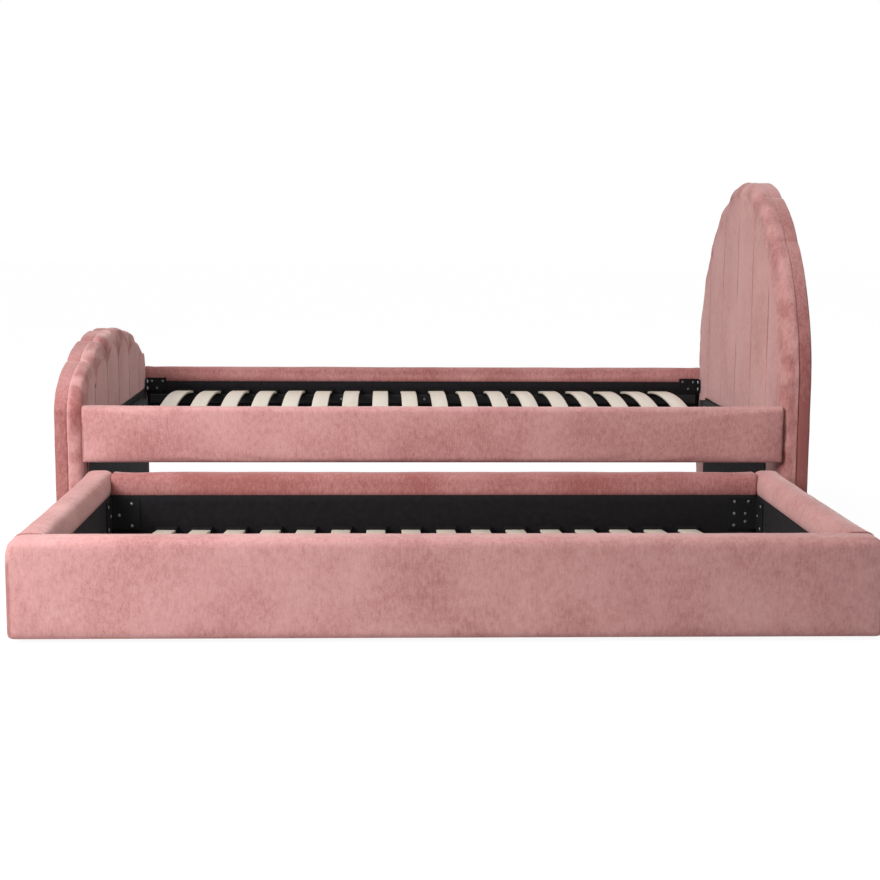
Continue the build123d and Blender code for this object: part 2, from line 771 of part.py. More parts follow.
castor_inside = wheel_width + 2 * wheel_side_gap
castor_top = 2 * wheel_radius + castor_crown_gap
with BuildPart() as castor_brackets:
    for side in (-1, 1):
        wall = side * trundle_inner_half
        plate = wall - side * castor_wall
        cheek = plate - side * castor_inside
        for middle in castor_middles:
            start, end = middle - castor_length / 2, middle + castor_length / 2
            bar("Y", start, end, wall, plate, castor_foot, castor_foot + castor_plate_height)
            bar("Y", start, end, plate, cheek, castor_top, castor_top + castor_wall)
            bar("Y", start, end, cheek, cheek - side * castor_wall, castor_foot, castor_top + castor_wall)
            with Locations(Location(((wall + cheek) / 2, middle, wheel_radius), turns["+X"])):
                Cylinder(axle_radius + running_gap, castor_inside + 4 * castor_wall, mode=Mode.SUBTRACT)
        cut_holes(castor_screw_places(side), castor_screw_length)
finish(castor_brackets.part, "castor_brackets")
finish(screws(castor_screw_places(-1) + castor_screw_places(1), castor_screw_length), "castor_screws")

axle_length = castor_inside + 2 * castor_wall
axle_places = [Location((side * (trundle_inner_half - axle_length), middle, wheel_radius), facing_x(-side))
               for side in (-1, 1) for middle in castor_middles]
finish(fasteners(axle_places, axle_head_radius, axle_head_radius - axle_head_height / 2,
                 axle_head_height, axle_radius, axle_length), "castor_axles")

wheel_across = trundle_inner_half - castor_wall - castor_inside / 2
for end, middle in (("front", castor_middles[0]), ("rear", castor_middles[1])):
    for name, side in (("head", 1), ("foot", -1)):
        with BuildPart() as wheel:
            with Locations(Location((side * wheel_across, middle, wheel_radius), turns["+X"])):
                Cylinder(wheel_radius, wheel_width)
            fillet(edges().filter_by(GeomType.CIRCLE), wheel_edge_radius)
            for face in (-1, 1):
                dish = side * wheel_across + face * (wheel_width - wheel_dish_depth) / 2
                with Locations(Location((dish, middle, wheel_radius), turns["+X"])):
                    Cylinder(wheel_dish_radius, wheel_dish_depth, mode=Mode.SUBTRACT)
                    Cylinder(wheel_hub_radius, wheel_dish_depth)
            with Locations(Location((side * wheel_across, middle, wheel_radius), turns["+X"])):
                Cylinder(axle_radius + running_gap, 2 * wheel_width, mode=Mode.SUBTRACT)
        finish(wheel.part, "castor_wheel_" + end + "_" + name)
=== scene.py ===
import json
import math

import bmesh
import bpy
import numpy as np
from mathutils import Matrix, Vector, noise


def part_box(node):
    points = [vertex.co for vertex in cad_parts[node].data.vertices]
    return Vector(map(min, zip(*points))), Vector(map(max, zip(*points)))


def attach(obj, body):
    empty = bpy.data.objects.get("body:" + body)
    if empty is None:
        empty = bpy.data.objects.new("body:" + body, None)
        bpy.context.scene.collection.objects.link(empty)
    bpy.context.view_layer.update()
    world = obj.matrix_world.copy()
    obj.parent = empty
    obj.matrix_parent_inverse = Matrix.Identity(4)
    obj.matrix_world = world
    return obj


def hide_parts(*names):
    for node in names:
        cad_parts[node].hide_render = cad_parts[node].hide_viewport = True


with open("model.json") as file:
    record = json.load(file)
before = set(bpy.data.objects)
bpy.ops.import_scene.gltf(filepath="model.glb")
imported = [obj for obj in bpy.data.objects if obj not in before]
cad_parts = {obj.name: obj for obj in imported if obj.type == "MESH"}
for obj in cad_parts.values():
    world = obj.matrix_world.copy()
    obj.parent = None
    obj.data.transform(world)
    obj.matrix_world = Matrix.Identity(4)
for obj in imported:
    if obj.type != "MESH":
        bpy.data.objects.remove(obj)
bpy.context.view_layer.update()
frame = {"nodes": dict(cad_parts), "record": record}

print("frame loaded,", len(frame["nodes"]), "nodes")

# The bed as the record places it: +X to the headboard, +Y to the back rail, +Z up, in metres
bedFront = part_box("front_rail_upholstery")[0].y
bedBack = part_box("back_rail_upholstery")[1].y
bedMiddle = (bedFront + bedBack) / 2
boardHalf = (bedBack - bedFront) / 2


# Small helpers


def addObject(name, data):
    made = bpy.data.objects.new(name, data)
    bpy.context.scene.collection.objects.link(made)
    return made


def makePiece(name, points, faces, smooth=True):
    mesh = bpy.data.meshes.new(name)
    mesh.from_pydata([tuple(p) for p in points], [], faces)
    mesh.validate()
    mesh.shade_smooth() if smooth else mesh.shade_flat()
    return addObject(name, mesh)


def readVectors(mesh, field="co"):
    values = np.zeros(len(mesh.vertices) * 3, np.float32)
    mesh.vertices.foreach_get(field, values)
    return values.reshape(-1, 3).astype(float)


def writePoints(mesh, points):
    mesh.vertices.foreach_set("co", points.astype(np.float32).ravel())
    mesh.update()


def pushOut(piece, lift):
    # Moves each point along its own normal
    place, normal = readVectors(piece.data), readVectors(piece.data, "normal")
    writePoints(piece.data, place + normal * lift[:, None])


def markPoints(piece, name, values):
    mark = piece.data.attributes.new(name, "FLOAT", "POINT")
    mark.data.foreach_set("value", np.asarray(values, np.float32))


def applyModifiers(piece):
    bpy.context.view_layer.update()
    seen = bpy.context.evaluated_depsgraph_get()
    mesh = bpy.data.meshes.new_from_object(piece.evaluated_get(seen))
    old = piece.data
    piece.modifiers.clear()
    piece.data = mesh
    mesh.name = piece.name
    bpy.data.meshes.remove(old)


def pointOutwards(piece, closing=False):
    # Faces turned outwards, with the slits between padded channels closed first where asked
    work = bmesh.new()
    work.from_mesh(piece.data)
    if closing:
        rims = [edge for edge in work.edges if edge.is_boundary]
        bmesh.ops.holes_fill(work, edges=rims, sides=0)
    bmesh.ops.recalc_face_normals(work, faces=work.faces)
    work.to_mesh(piece.data)
    work.free()


def tubeFaces(rings, size, first=0):
    # Quads between closed loops of points that follow each other
    faces = []
    for ring in range(rings - 1):
        a = first + ring * size
        for index in range(size):
            after = (index + 1) % size
            faces.append((a + index, a + after, a + size + after, a + size + index))
    return faces


def twoLayerFaces(rows, columns):
    # Both sides of a thin sheet and the rim that joins them
    size, faces = rows * columns, []
    for layer in (0, size):
        for row in range(rows - 1):
            for column in range(columns - 1):
                a = layer + row * columns + column
                faces.append((a, a + 1, a + columns + 1, a + columns))
    rim = ([c for c in range(columns)] + [r * columns + columns - 1 for r in range(1, rows)]
           + [(rows - 1) * columns + c for c in range(columns - 2, -1, -1)]
           + [r * columns for r in range(rows - 2, 0, -1)])
    for here, after in zip(rim, rim[1:] + rim[:1]):
        faces.append((here, after, after + size, here + size))
    return faces


def subdivideOnce(piece):
    smoother = piece.modifiers.new("smoother", "SUBSURF")
    smoother.levels = smoother.render_levels = 1
    applyModifiers(piece)


def softNoise(points, scale, seed=0.0):
    return np.array([noise.noise(Vector(p) * scale + Vector((seed, seed, seed))) for p in points])


def softPatches(points, spec):
    # Noise brought to a share between two limits
    cloud = softNoise(points, spec["scale"], spec["seed"])
    return np.clip(spec["base"] + spec["gain"] * cloud, *spec["limits"])


def spotAlong(axis, along, aside, up):
    # A point from its places along axis 0 or 1 and beside it
    return (along, aside, up) if axis == 0 else (aside, along, up)


def resample(line, shares):
    # Points of a polyline at shares of its length
    line = np.asarray(line, float)
    gone = np.concatenate([[0], np.cumsum(np.linalg.norm(np.diff(line, axis=0), axis=1))])
    at = np.asarray(shares) * gone[-1]
    return np.stack([np.interp(at, gone, line[:, k]) for k in range(line.shape[1])], axis=1)


# Padding. The cloth is held at its seams and blown up a little, as foam fills it.

foamFrames = 20
foam = {"quality": 4, "mass": 0.25, "tension_stiffness": 14.0, "compression_stiffness": 14.0,
        "shear_stiffness": 14.0 / 3, "bending_stiffness": 0.6, "use_pressure": True,
        "uniform_pressure_force": 4.0, "vertex_group_mass": "held"}


def puffUp(piece, held, cap):
    group = piece.vertex_groups.new(name="held")
    for index, weight in enumerate(held):
        if weight > 0:
            group.add([index], float(weight), "REPLACE")
    rest = readVectors(piece.data)
    cloth = piece.modifiers.new("foam", "CLOTH")
    for field, value in foam.items():
        setattr(cloth.settings, field, value)
    cloth.settings.effector_weights.gravity = 0
    cloth.collision_settings.use_collision = False
    cloth.collision_settings.use_self_collision = False
    cloth.point_cache.frame_start = 1
    cloth.point_cache.frame_end = foamFrames
    for frameNumber in range(1, foamFrames + 1):
        bpy.context.scene.frame_set(frameNumber)
    seen = bpy.context.evaluated_depsgraph_get()
    blown = readVectors(piece.evaluated_get(seen).data)
    piece.modifiers.remove(cloth)
    piece.vertex_groups.clear()
    moved = np.nan_to_num(blown - rest)
    far = np.linalg.norm(moved, axis=1)
    limit = cap * np.tanh(far / cap) / np.maximum(far, 1e-9)
    writePoints(piece.data, rest + moved * limit[:, None])
    bpy.context.scene.frame_set(1)
    print("puffed", piece.name, "by up to", round(float(far.max()) * 1000, 1), "mm before the cap")


# Materials. Each effect that more than one finish uses is a group with its own inputs.


def addNode(tree, kind, inputs=None, **fields):
    made = tree.nodes.new(kind)
    for field, value in fields.items():
        setattr(made, field, value)
    for socket, value in (inputs or {}).items():
        if isinstance(value, bpy.types.NodeSocket):
            tree.links.new(value, made.inputs[socket])
        else:
            made.inputs[socket].default_value = value
    return made


def mathNode(tree, operation, first, second, third=None):
    inputs = {0: first, 1: second}
    if third is not None:
        inputs[2] = third
    return addNode(tree, "ShaderNodeMath", inputs, operation=operation).outputs[0]


def mixColours(tree, share, first, second):
    mixed = addNode(tree, "ShaderNodeMix", {0: share, 6: first, 7: second}, data_type="RGBA")
    return mixed.outputs[2]


def newGroup(name, inputs):
    tree = bpy.data.node_groups.new(name, "ShaderNodeTree")
    for label, value in inputs.items():
        kind = "NodeSocketVector" if isinstance(value, tuple) else "NodeSocketFloat"
        socket = tree.interface.new_socket(label, in_out="INPUT", socket_type=kind)
        socket.default_value = value
    for label in ("Tone", "Height"):
        tree.interface.new_socket(label, in_out="OUTPUT", socket_type="NodeSocketFloat")
    place = addNode(tree, "ShaderNodeTexCoord").outputs["Object"]
    return tree, tree.nodes.new("NodeGroupInput").outputs, place


def closeGroup(tree, tone, height):
    addNode(tree, "NodeGroupOutput", {"Tone": tone, "Height": height})
    return tree


def stretchedNoise(tree, place, stretch, scale, detail, roughness=0.5, distortion=0.0):
    spread = addNode(tree, "ShaderNodeMapping", {"Vector": place, "Scale": stretch})
    cloud = addNode(tree, "ShaderNodeTexNoise", {
        "Vector": spread.outputs[0], "Scale": scale, "Detail": detail, "Roughness": roughness,
        "Distortion": distortion})
    return cloud.outputs[0]


def pointMark(tree, name):
    return addNode(tree, "ShaderNodeAttribute", attribute_name=name).outputs["Fac"]


# Each layer of the pile: its scale and stretch, and its shares in the tone and the height
pileLayers = {
    "Patch": {"scale": 5.0, "stretch": (1, 1, 0.8), "detail": 3, "rough": 0.5, "tone": 0.7, "height": 0},
    "Mottle": {"scale": 62.0, "stretch": (1, 1, 0.8), "detail": 4, "rough": 0.65, "tone": 0.55,
               "height": 0.7},
    "Streak": {"scale": 170.0, "stretch": (1, 1, 0.34), "detail": 2, "rough": 0.5, "tone": 0.4,
               "height": 0.35},
    "Yarn": {"scale": 330.0, "stretch": (1, 1, 0.6), "detail": 2, "rough": 0.5, "tone": 0.4,
             "height": 0.6},
}
# How far the crush mark darkens the pile, evenly and with the mottle. The darkening is partly crushed pile
# and partly painted shade.
darkenedPile = {"mottle": 0.35, "even": 0.3}


def makePileGroup():
    # Cut pile: broad patches, mottling, short upright streaks and the yarn itself. The crush input
    # darkens the pile where it is crushed, in patches, and also carries painted shade on rolled edges, band
    # sides and the covers of the back rail and trundle rear.
    scales = {label: layer["scale"] for label, layer in pileLayers.items()}
    tree, taken, place = newGroup("crushedPile", {**scales, "Crush": 0.0})
    tone, height, clouds = 0.5, 0.0, {}
    for label, layer in pileLayers.items():
        cloud = stretchedNoise(tree, place, layer["stretch"], taken[label], layer["detail"], layer["rough"])
        tone = mathNode(tree, "MULTIPLY_ADD", cloud, layer["tone"],
                        mathNode(tree, "SUBTRACT", tone, layer["tone"] / 2))
        height = mathNode(tree, "MULTIPLY_ADD", cloud, layer["height"], height)
        clouds[label] = cloud
    darkened = mathNode(tree, "MULTIPLY_ADD", clouds["Mottle"], darkenedPile["mottle"], darkenedPile["even"])
    darkened = mathNode(tree, "MULTIPLY", taken["Crush"], darkened)
    return closeGroup(tree, mathNode(tree, "SUBTRACT", tone, darkened), height)


def makeWeaveGroup():
    # Thin woven or bonded cloth: crossed threads with a little fluff
    tree, taken, place = newGroup("thinCloth", {"Thread": 900.0, "Fluff": 60.0})
    cloud = stretchedNoise(tree, place, (1, 1, 1), taken["Fluff"], detail=5, roughness=0.65)
    height = mathNode(tree, "MULTIPLY", cloud, 0.4)
    for turn in ((0, 0, 0), (0, math.pi / 2, 0), (0, 0, math.pi / 2)):
        turned = addNode(tree, "ShaderNodeMapping", {"Vector": place, "Rotation": turn}).outputs[0]
        threads = addNode(tree, "ShaderNodeTexWave", {"Vector": turned, "Scale": taken["Thread"],
                                                      "Distortion": 1.5}).outputs["Fac"]
        height = mathNode(tree, "MULTIPLY_ADD", threads, 0.25, height)
    return closeGroup(tree, cloud, height)


def makeGrainGroup():
    # Wood grain along one axis, with pores
    tree, taken, place = newGroup("woodGrain", {"Stretch": (40.0, 2.0, 40.0), "Pore": 9.0})
    grain = stretchedNoise(tree, place, taken["Stretch"], 1.0, detail=5, distortion=0.8)
    pores = stretchedNoise(tree, place, taken["Stretch"], taken["Pore"], detail=2)
    tone = mathNode(tree, "MULTIPLY_ADD", grain, 0.7, mathNode(tree, "MULTIPLY", pores, 0.3))
    return closeGroup(tree, tone, pores)


def makeScuffGroup():
    # Handling marks and fine texture on metal and moulded plastic
    tree, taken, place = newGroup("scuffs", {"Cloud": 30.0, "Speck": 500.0})
    cloud = stretchedNoise(tree, place, (1, 1, 1), taken["Cloud"], detail=5, roughness=0.6)
    speck = stretchedNoise(tree, place, (1, 1, 1), taken["Speck"], detail=2)
    return closeGroup(tree, cloud, speck)


groups = {"pile": makePileGroup(), "cloth": makeWeaveGroup(), "grain": makeGrainGroup(),
          "scuffs": makeScuffGroup()}


def makeFinish(look):
    # One finish: a group's tone moves the colour and roughness, and its height feeds the bump
    material = bpy.data.materials.new(look["name"])
    material.use_nodes = True
    tree = material.node_tree
    shader = tree.nodes["Principled BSDF"]
    effect = addNode(tree, "ShaderNodeGroup", node_tree=groups[look["group"]])
    for label, value in look.get("values", {}).items():
        effect.inputs[label].default_value = value
    # The crush mark carries crushed pile and painted shade on rolled edges, bands and rear covers.
    if look["group"] == "pile":
        tree.links.new(pointMark(tree, "crush"), effect.inputs["Crush"])
    ramp = addNode(tree, "ShaderNodeValToRGB", {"Fac": effect.outputs["Tone"]})
    stops = look["colours"]
    for place, colour in stops[2:]:
        ramp.color_ramp.elements.new(place)
    for element, (place, colour) in zip(ramp.color_ramp.elements, sorted(stops)):
        element.position = place
        element.color = (*colour, 1)
    colour = ramp.outputs["Color"]
    # Painted shade: the tuck mark mixes the dark seam colour in along seams and creases. The tint mark gives
    # each slat its own tone.
    for mark, field in (("tuck", "tucked"), ("tint", "spread")):
        if field in look:
            colour = mixColours(tree, pointMark(tree, mark), colour, (*look[field], 1))
    tree.links.new(colour, shader.inputs["Base Color"])
    low, high = look["roughness"]
    rough = addNode(tree, "ShaderNodeMapRange", {"Value": effect.outputs["Tone"], "To Min": low,
                                                 "To Max": high})
    tree.links.new(rough.outputs[0], shader.inputs["Roughness"])
    bump = addNode(tree, "ShaderNodeBump", {"Height": effect.outputs["Height"],
                                            "Strength": look["bump"], "Distance": look["depth"]})
    tree.links.new(bump.outputs[0], shader.inputs["Normal"])
    for socket, value in look.get("sockets", {}).items():
        shader.inputs[socket].default_value = value
    return material


# Colours stand at the tones where they apply, and roughness runs from the low tones to the high
looks = {
    # The pink's tucked colour is painted shade for seams and creases.
    "pink": {"name": "pinkChenille", "group": "pile", "roughness": (0.95, 0.8), "bump": 0.24,
             "depth": 0.0014, "tucked": (0.2, 0.06, 0.058),
             "colours": [(0.0, (0.3, 0.098, 0.09)), (1.0, (0.68, 0.4, 0.38)),
                         (0.5, (0.545, 0.275, 0.264))],
             "sockets": {"Sheen Weight": 0.4, "Sheen Roughness": 0.45,
                         "Sheen Tint": (1.0, 0.8, 0.77, 1), "Specular IOR Level": 0.2}},
    "lining": {"name": "blackLining", "group": "cloth", "roughness": (0.97, 0.85), "bump": 0.35,
               "depth": 0.0006, "sockets": {"Specular IOR Level": 0.2},
               "colours": [(0.3, (0.005, 0.0042, 0.005)), (0.7, (0.0095, 0.008, 0.0095))]},
    "slat": {"name": "birchSlat", "group": "grain", "values": {"Stretch": (30.0, 1.6, 30.0)},
             "roughness": (0.5, 0.36), "bump": 0.12, "depth": 0.0004, "spread": (0.67, 0.595, 0.49),
             "sockets": {"Coat Weight": 0.15, "Coat Roughness": 0.3},
             "colours": [(0.3, (0.6, 0.515, 0.41)), (0.72, (0.76, 0.685, 0.58))]},
    "pine": {"name": "planedPine", "group": "grain", "values": {"Stretch": (2.0, 30.0, 30.0)},
             "roughness": (0.75, 0.6), "bump": 0.2, "depth": 0.0006,
             "colours": [(0.3, (0.5, 0.33, 0.18)), (0.72, (0.68, 0.5, 0.31))]},
    # The battens are near black, as dark as the space under the slats.
    "blackPaint": {"name": "paintedBatten", "group": "grain", "values": {"Stretch": (2.0, 30.0, 30.0)},
                   "roughness": (0.85, 0.7), "bump": 0.2, "depth": 0.0005,
                   "sockets": {"Specular IOR Level": 0.25},
                   "colours": [(0.3, (0.008, 0.0075, 0.008)), (0.72, (0.016, 0.015, 0.016))]},
    "blackSteel": {"name": "blackPowderCoat", "group": "scuffs", "roughness": (0.6, 0.78), "bump": 0.15,
                   "depth": 0.0002, "sockets": {"Specular IOR Level": 0.14},
                   "colours": [(0.3, (0.005, 0.005, 0.0055)), (0.75, (0.009, 0.009, 0.0098))]},
    "blackPlastic": {"name": "blackMoulding", "group": "scuffs", "values": {"Speck": 900.0},
                     "roughness": (0.8, 0.65), "bump": 0.2, "depth": 0.0002,
                     "sockets": {"Specular IOR Level": 0.08},
                     "colours": [(0.3, (0.006, 0.006, 0.0065)), (0.75, (0.011, 0.011, 0.0115))]},
    "zinc": {"name": "zincPlate", "group": "scuffs", "roughness": (0.28, 0.45), "bump": 0.08,
             "depth": 0.0002, "sockets": {"Metallic": 1.0},
             "colours": [(0.25, (0.16, 0.165, 0.175)), (0.75, (0.28, 0.285, 0.3))]},
    "nylon": {"name": "greyNylon", "group": "scuffs", "values": {"Cloud": 60.0},
              "roughness": (0.42, 0.6), "bump": 0.12, "depth": 0.0002,
              "colours": [(0.3, (0.045, 0.045, 0.048)), (0.75, (0.07, 0.07, 0.074))]},
}
finishes = {label: makeFinish(look) for label, look in looks.items()}
slotFinishes = {"pink_chenille": "pink", "black_cloth": "lining", "frame_timber": "pine",
                "batten_timber": "blackPaint", "birch_slat": "slat", "black_plastic": "blackPlastic",
                "black_steel": "blackSteel", "zinc_screw": "zinc", "zinc_plate": "zinc",
                "castor_nylon": "nylon"}
nodeSlots = {row["node"]: row["material_slot"] for row in frame["record"]["subparts"]}
nodeBodies = {node: body for body, members in frame["record"]["behaviour"]["bodies"].items()
              for node in members}


def paint(piece, node):
    piece.data.materials.clear()
    piece.data.materials.append(finishes[slotFinishes[nodeSlots[node]]])


def dress(piece, node):
    # A piece takes the finish, the slot and the body of the node that it replaces
    paint(piece, node)
    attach(piece, nodeBodies[node])
    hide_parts(node)


for nodeName in nodeSlots:
    paint(frame["nodes"][nodeName], nodeName)
print("finishes made")


# Padded boards: six upright channels under an arch, rolled over the edge onto a flat band. The
# two outer channels go on down to the floor as legs.

channels = {"count": 6, "power": 1.84, "rows": 76, "seam": 0.0024, "roll": 0.04, "floor": 0.008,
            "crown": 0.005, "crownPowers": (2.4, 0.75), "puffCap": 0.004, "inset": 0.0045,
            "archCount": 48, "swellPowers": (3, 0.55), "sagPower": 2.6, "corner": 0.6, "legTurn": 0.05,
            "clear": 0.001, "heldDepth": 0.1, "tuckDepth": 0.9, "rollEase": 4, "rollRows": 6}
# Gathers over the roll, and how the painted seam shade and the crushed pile with its painted shade come and
# go along the board
padMarks = {"pleatScale": 25.0, "channelStep": 0.37, "depthShare": 0.3, "uneven": 0.0013,
            "unevenScale": 12.0, "unevenSeed": 3.1, "fadeStart": 0.3,
            "tuck": {"scale": 7.0, "seed": 9.2, "base": 0.35, "gain": 0.9, "limits": (0.1, 0.6)},
            "crush": {"scale": 17.0, "seed": 6.4, "base": 0.55, "gain": 1.6, "limits": (0, 1)}}
# Crush and nap set the painted shade on rolled edges and bands, which topNap lightens on top of the board;
# seamTop fades the painted seam shade out towards the top.
boards = {
    "headboard": {"side": 1, "spring": 0.482, "top": 1.094, "bulge": 0.009, "padBottom": 0.332,
                  "leg": 0.18, "sag": 0.013, "gather": 0.005, "crush": 0.5, "nap": 0.9,
                  "topNap": 0.8, "seamTop": 0.16, "skin": "headboard_back_cloth"},
    "footboard": {"side": -1, "spring": 0.402, "top": 0.598, "bulge": 0.012, "padBottom": 0.352,
                  "leg": 0.048, "sag": 0.042, "gather": 0.0044, "crush": 0.9, "nap": 0.95,
                  "topNap": 0.35, "seamTop": 0.05, "skin": "footboard_outer_cover"},
}
ringShares = [  # depth, roll and seam of each ring, from the band to the face
    (0.0, 0.04, 0.0), (0.05, 0.01, 0.0), (0.14, 0.0, 0.0), (0.3, 0.0, 0.0), (0.46, 0.026, 0.0),
    (0.6, 0.097, 0.0), (0.72, 0.2, 0.0), (0.82, 0.33, 0.0), (0.9, 0.485, 0.06), (0.955, 0.64, 0.22),
    (0.988, 0.8, 0.6), (1.0, 1.0, 1.0)]
channelWidth = 2 * boardHalf / channels["count"]
columnShares = (0.0, 0.02, 0.055, 0.11, 0.18, 0.26, 0.34, 0.42, 0.5, 0.58, 0.66, 0.74, 0.82, 0.89, 0.945,
                0.98, 1.0)


def archLine(board, start, end, inset, sag=0.0):
    # The arch between two places across the board. The channel swells in its middle and sags
    # towards its seams, which makes its top a rounded finger.
    half, power = boardHalf - inset, channels["power"]
    angles = []
    for offset in (start, end):
        angle = math.acos(min(abs(offset) / half, 1) ** (power / 2))
        angles.append(angle if offset >= 0 else math.pi - angle)
    points = []
    for step in range(channels["archCount"]):
        share = step / (channels["archCount"] - 1)
        angle = angles[0] + (angles[1] - angles[0]) * share
        across, up = math.cos(angle), math.sin(angle)
        side = half * abs(across) ** (2 / power) * (1 if across >= 0 else -1)
        rise = (board["top"] - inset - board["spring"]) * abs(up) ** (2 / power)
        aside = abs(2 * share - 1)
        swelling = board["bulge"] * (1 - aside ** channels["swellPowers"][0]) ** channels["swellPowers"][1]
        onSeam = start > -half + channels["clear"] if share < 0.5 else end < half - channels["clear"]
        drawn = sag * aside ** channels["sagPower"] if onSeam else 0
        points.append((side, board["spring"] + rise + swelling - drawn))
    return np.array(points)


def channelRing(board, number, roll, tuck):
    # Four lines round a channel: its left and right sides, its top and its foot
    inset = roll * channels["roll"]
    left, right = -boardHalf + number * channelWidth, -boardHalf + (number + 1) * channelWidth
    firstOne, lastOne = number == 0, number == channels["count"] - 1
    floor, high, leg = channels["floor"], board["padBottom"], board["leg"] - tuck
    start = -(boardHalf - inset) if firstOne else left + tuck
    end = boardHalf - inset if lastOne else right - tuck
    arch = archLine(board, start, end, inset, roll * board["sag"])
    rows, columns = np.linspace(0, 1, channels["rows"]), np.array(columnShares)
    leftLine, topLine, rightLine = [(start, high), arch[0]], arch, [(end, high), arch[-1]]
    foot = [(start, high), (end, high)]
    turn = board["leg"] / channelWidth
    turns = (0, 1)
    if firstOne:
        cut = int(len(arch) * channels["corner"])
        leftLine, topLine = np.vstack([[(start, floor)], arch[:cut]]), arch[cut - 1:]
        foot = [(start, floor), (-boardHalf + leg, floor), (-boardHalf + leg, high), (end, high)]
        turns = (0, turn - channels["legTurn"], turn + channels["legTurn"], 1)
    elif lastOne:
        cut = len(arch) - int(len(arch) * channels["corner"])
        rightLine, topLine = np.vstack([[(end, floor)], arch[cut:][::-1]]), arch[:cut + 1]
        foot = [(start, high), (boardHalf - leg, high), (boardHalf - leg, floor), (end, floor)]
        turns = (0, 1 - turn - channels["legTurn"], 1 - turn + channels["legTurn"], 1)
    low = np.stack([np.interp(columns, turns, [spot[k] for spot in foot]) for k in (0, 1)], axis=1)
    return resample(leftLine, rows), resample(topLine, columns), resample(rightLine, rows), low


def channelMesh(board, number, points, faces, marks):
    rows, columns = channels["rows"], len(columnShares)
    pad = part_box("headboard_pad")
    thickness, face = pad[1].x - pad[0].x, board["side"] * pad[0].x
    first = len(points)
    outerLeft, outerRight = number == 0, number == channels["count"] - 1
    loopSize = 2 * rows + 2 * (columns - 2)
    onSeam = np.zeros(loopSize)
    onSeam[:rows] = 0 if outerLeft else 1
    onSeam[rows + columns - 2:2 * rows + columns - 2] = 0 if outerRight else 1

    def addPoint(spot, arc, roll, held, tuck):
        points.append(spot)
        for label, value in (("arc", arc), ("roll", roll), ("held", held), ("tuck", tuck),
                             ("channel", number)):
            marks[label].append(value)

    arc = None
    for depth, roll, tuck in ringShares:
        left, top, right, low = channelRing(board, number, roll, tuck * channels["seam"])
        loop = np.vstack([left, top[1:-1], right[::-1], low[1:-1][::-1]])
        if arc is None:
            arc = np.concatenate([[0], np.cumsum(np.linalg.norm(np.diff(loop, axis=0), axis=1))])
        place = face + board["side"] * (channels["inset"] + (thickness - channels["inset"]) * (1 - depth))
        for index, (side, height) in enumerate(loop):
            seam = onSeam[index]
            # The tuck mark is painted shade along the seams between channels.
            addPoint((place, bedMiddle + side, height), arc[index],
                     (1 - seam) * min(1, depth * channels["rollEase"]),
                     1.0 if depth < channels["heldDepth"] or seam else 0.0,
                     seam if depth > channels["tuckDepth"] else 0.0)
    faces += tubeFaces(len(ringShares), loopSize, first)
    # The face inside the last ring, blended from its four sides
    base = first + (len(ringShares) - 1) * loopSize
    grid = -np.ones((rows, columns), int)
    grid[:, 0] = base + np.arange(rows)
    grid[-1, 1:-1] = base + rows + np.arange(columns - 2)
    grid[::-1, -1] = base + rows + columns - 2 + np.arange(rows)
    grid[0, 1:-1] = base + 2 * rows + columns - 2 + np.arange(columns - 2)[::-1]
    across, up = np.array(columnShares)[None, :, None], np.linspace(0, 1, rows)[:, None, None]
    blended = ((1 - across) * left[:, None] + across * right[:, None] + (1 - up) * low[None]
               + up * top[None] - (1 - across) * (1 - up) * low[0] - across * (1 - up) * low[-1]
               - (1 - across) * up * top[0] - across * up * top[-1])
    flat, rounded = channels["crownPowers"]
    for row in range(1, rows - 1):
        for column in range(1, columns - 1):
            crown = channels["crown"] * (1 - abs(2 * columnShares[column] - 1) ** flat) ** rounded
            side, height = blended[row, column]
            near = min(rows - 1 - row, column if outerLeft else rows,
                       columns - 1 - column if outerRight else rows)
            grid[row, column] = len(points)
            addPoint((face + board["side"] * (channels["inset"] - crown), bedMiddle + side, height),
                     side + height, max(0.0, 1 - near / channels["rollRows"]), 0.0, 0.0)
    for row in range(rows - 1):
        for column in range(columns - 1):
            faces.append((grid[row, column], grid[row, column + 1], grid[row + 1, column + 1],
                          grid[row + 1, column]))


def makeBoardPad(name):
    board = boards[name]
    points, faces = [], []
    marks = {"arc": [], "roll": [], "held": [], "tuck": [], "channel": []}
    for number in range(channels["count"]):
        channelMesh(board, number, points, faces, marks)
    if board["side"] < 0:
        faces = [tuple(reversed(face)) for face in faces]
    piece = makePiece(name + "Pad", points, faces)
    puffUp(piece, marks["held"], channels["puffCap"])
    # Gathers run over the rolled edge, and the face is a little uneven
    place = readVectors(piece.data)
    arc, channel, roll, tuck = (np.array(marks[label]) for label in ("arc", "channel", "roll", "tuck"))
    along = np.stack([arc, channel * padMarks["channelStep"], place[:, 0] * padMarks["depthShare"]], axis=1)
    lift = roll * board["gather"] * softNoise(along, padMarks["pleatScale"])
    uneven = softNoise(place, padMarks["unevenScale"], padMarks["unevenSeed"])
    pushOut(piece, lift + padMarks["uneven"] * uneven)
    half, power = np.minimum(abs(place[:, 1] - bedMiddle) / boardHalf, 1), channels["power"]
    arch = board["spring"] + (board["top"] - board["spring"]) * (1 - half ** power) ** (1 / power)
    fade = np.clip((arch - place[:, 2]) / board["seamTop"] - padMarks["fadeStart"], 0, 1)
    # Painted shade: the tuck mark darkens the seams in patches and fades out towards the top, and the crush
    # mark darkens the rolled edges in patches.
    markPoints(piece, "tuck", tuck * fade * softPatches(place, padMarks["tuck"]))
    markPoints(piece, "crush", board["crush"] * softPatches(place, padMarks["crush"]) * roll)
    subdivideOnce(piece)
    pointOutwards(piece, closing=True)
    dress(piece, name + "_pad")
    print("made", piece.name, len(piece.data.polygons), "faces")


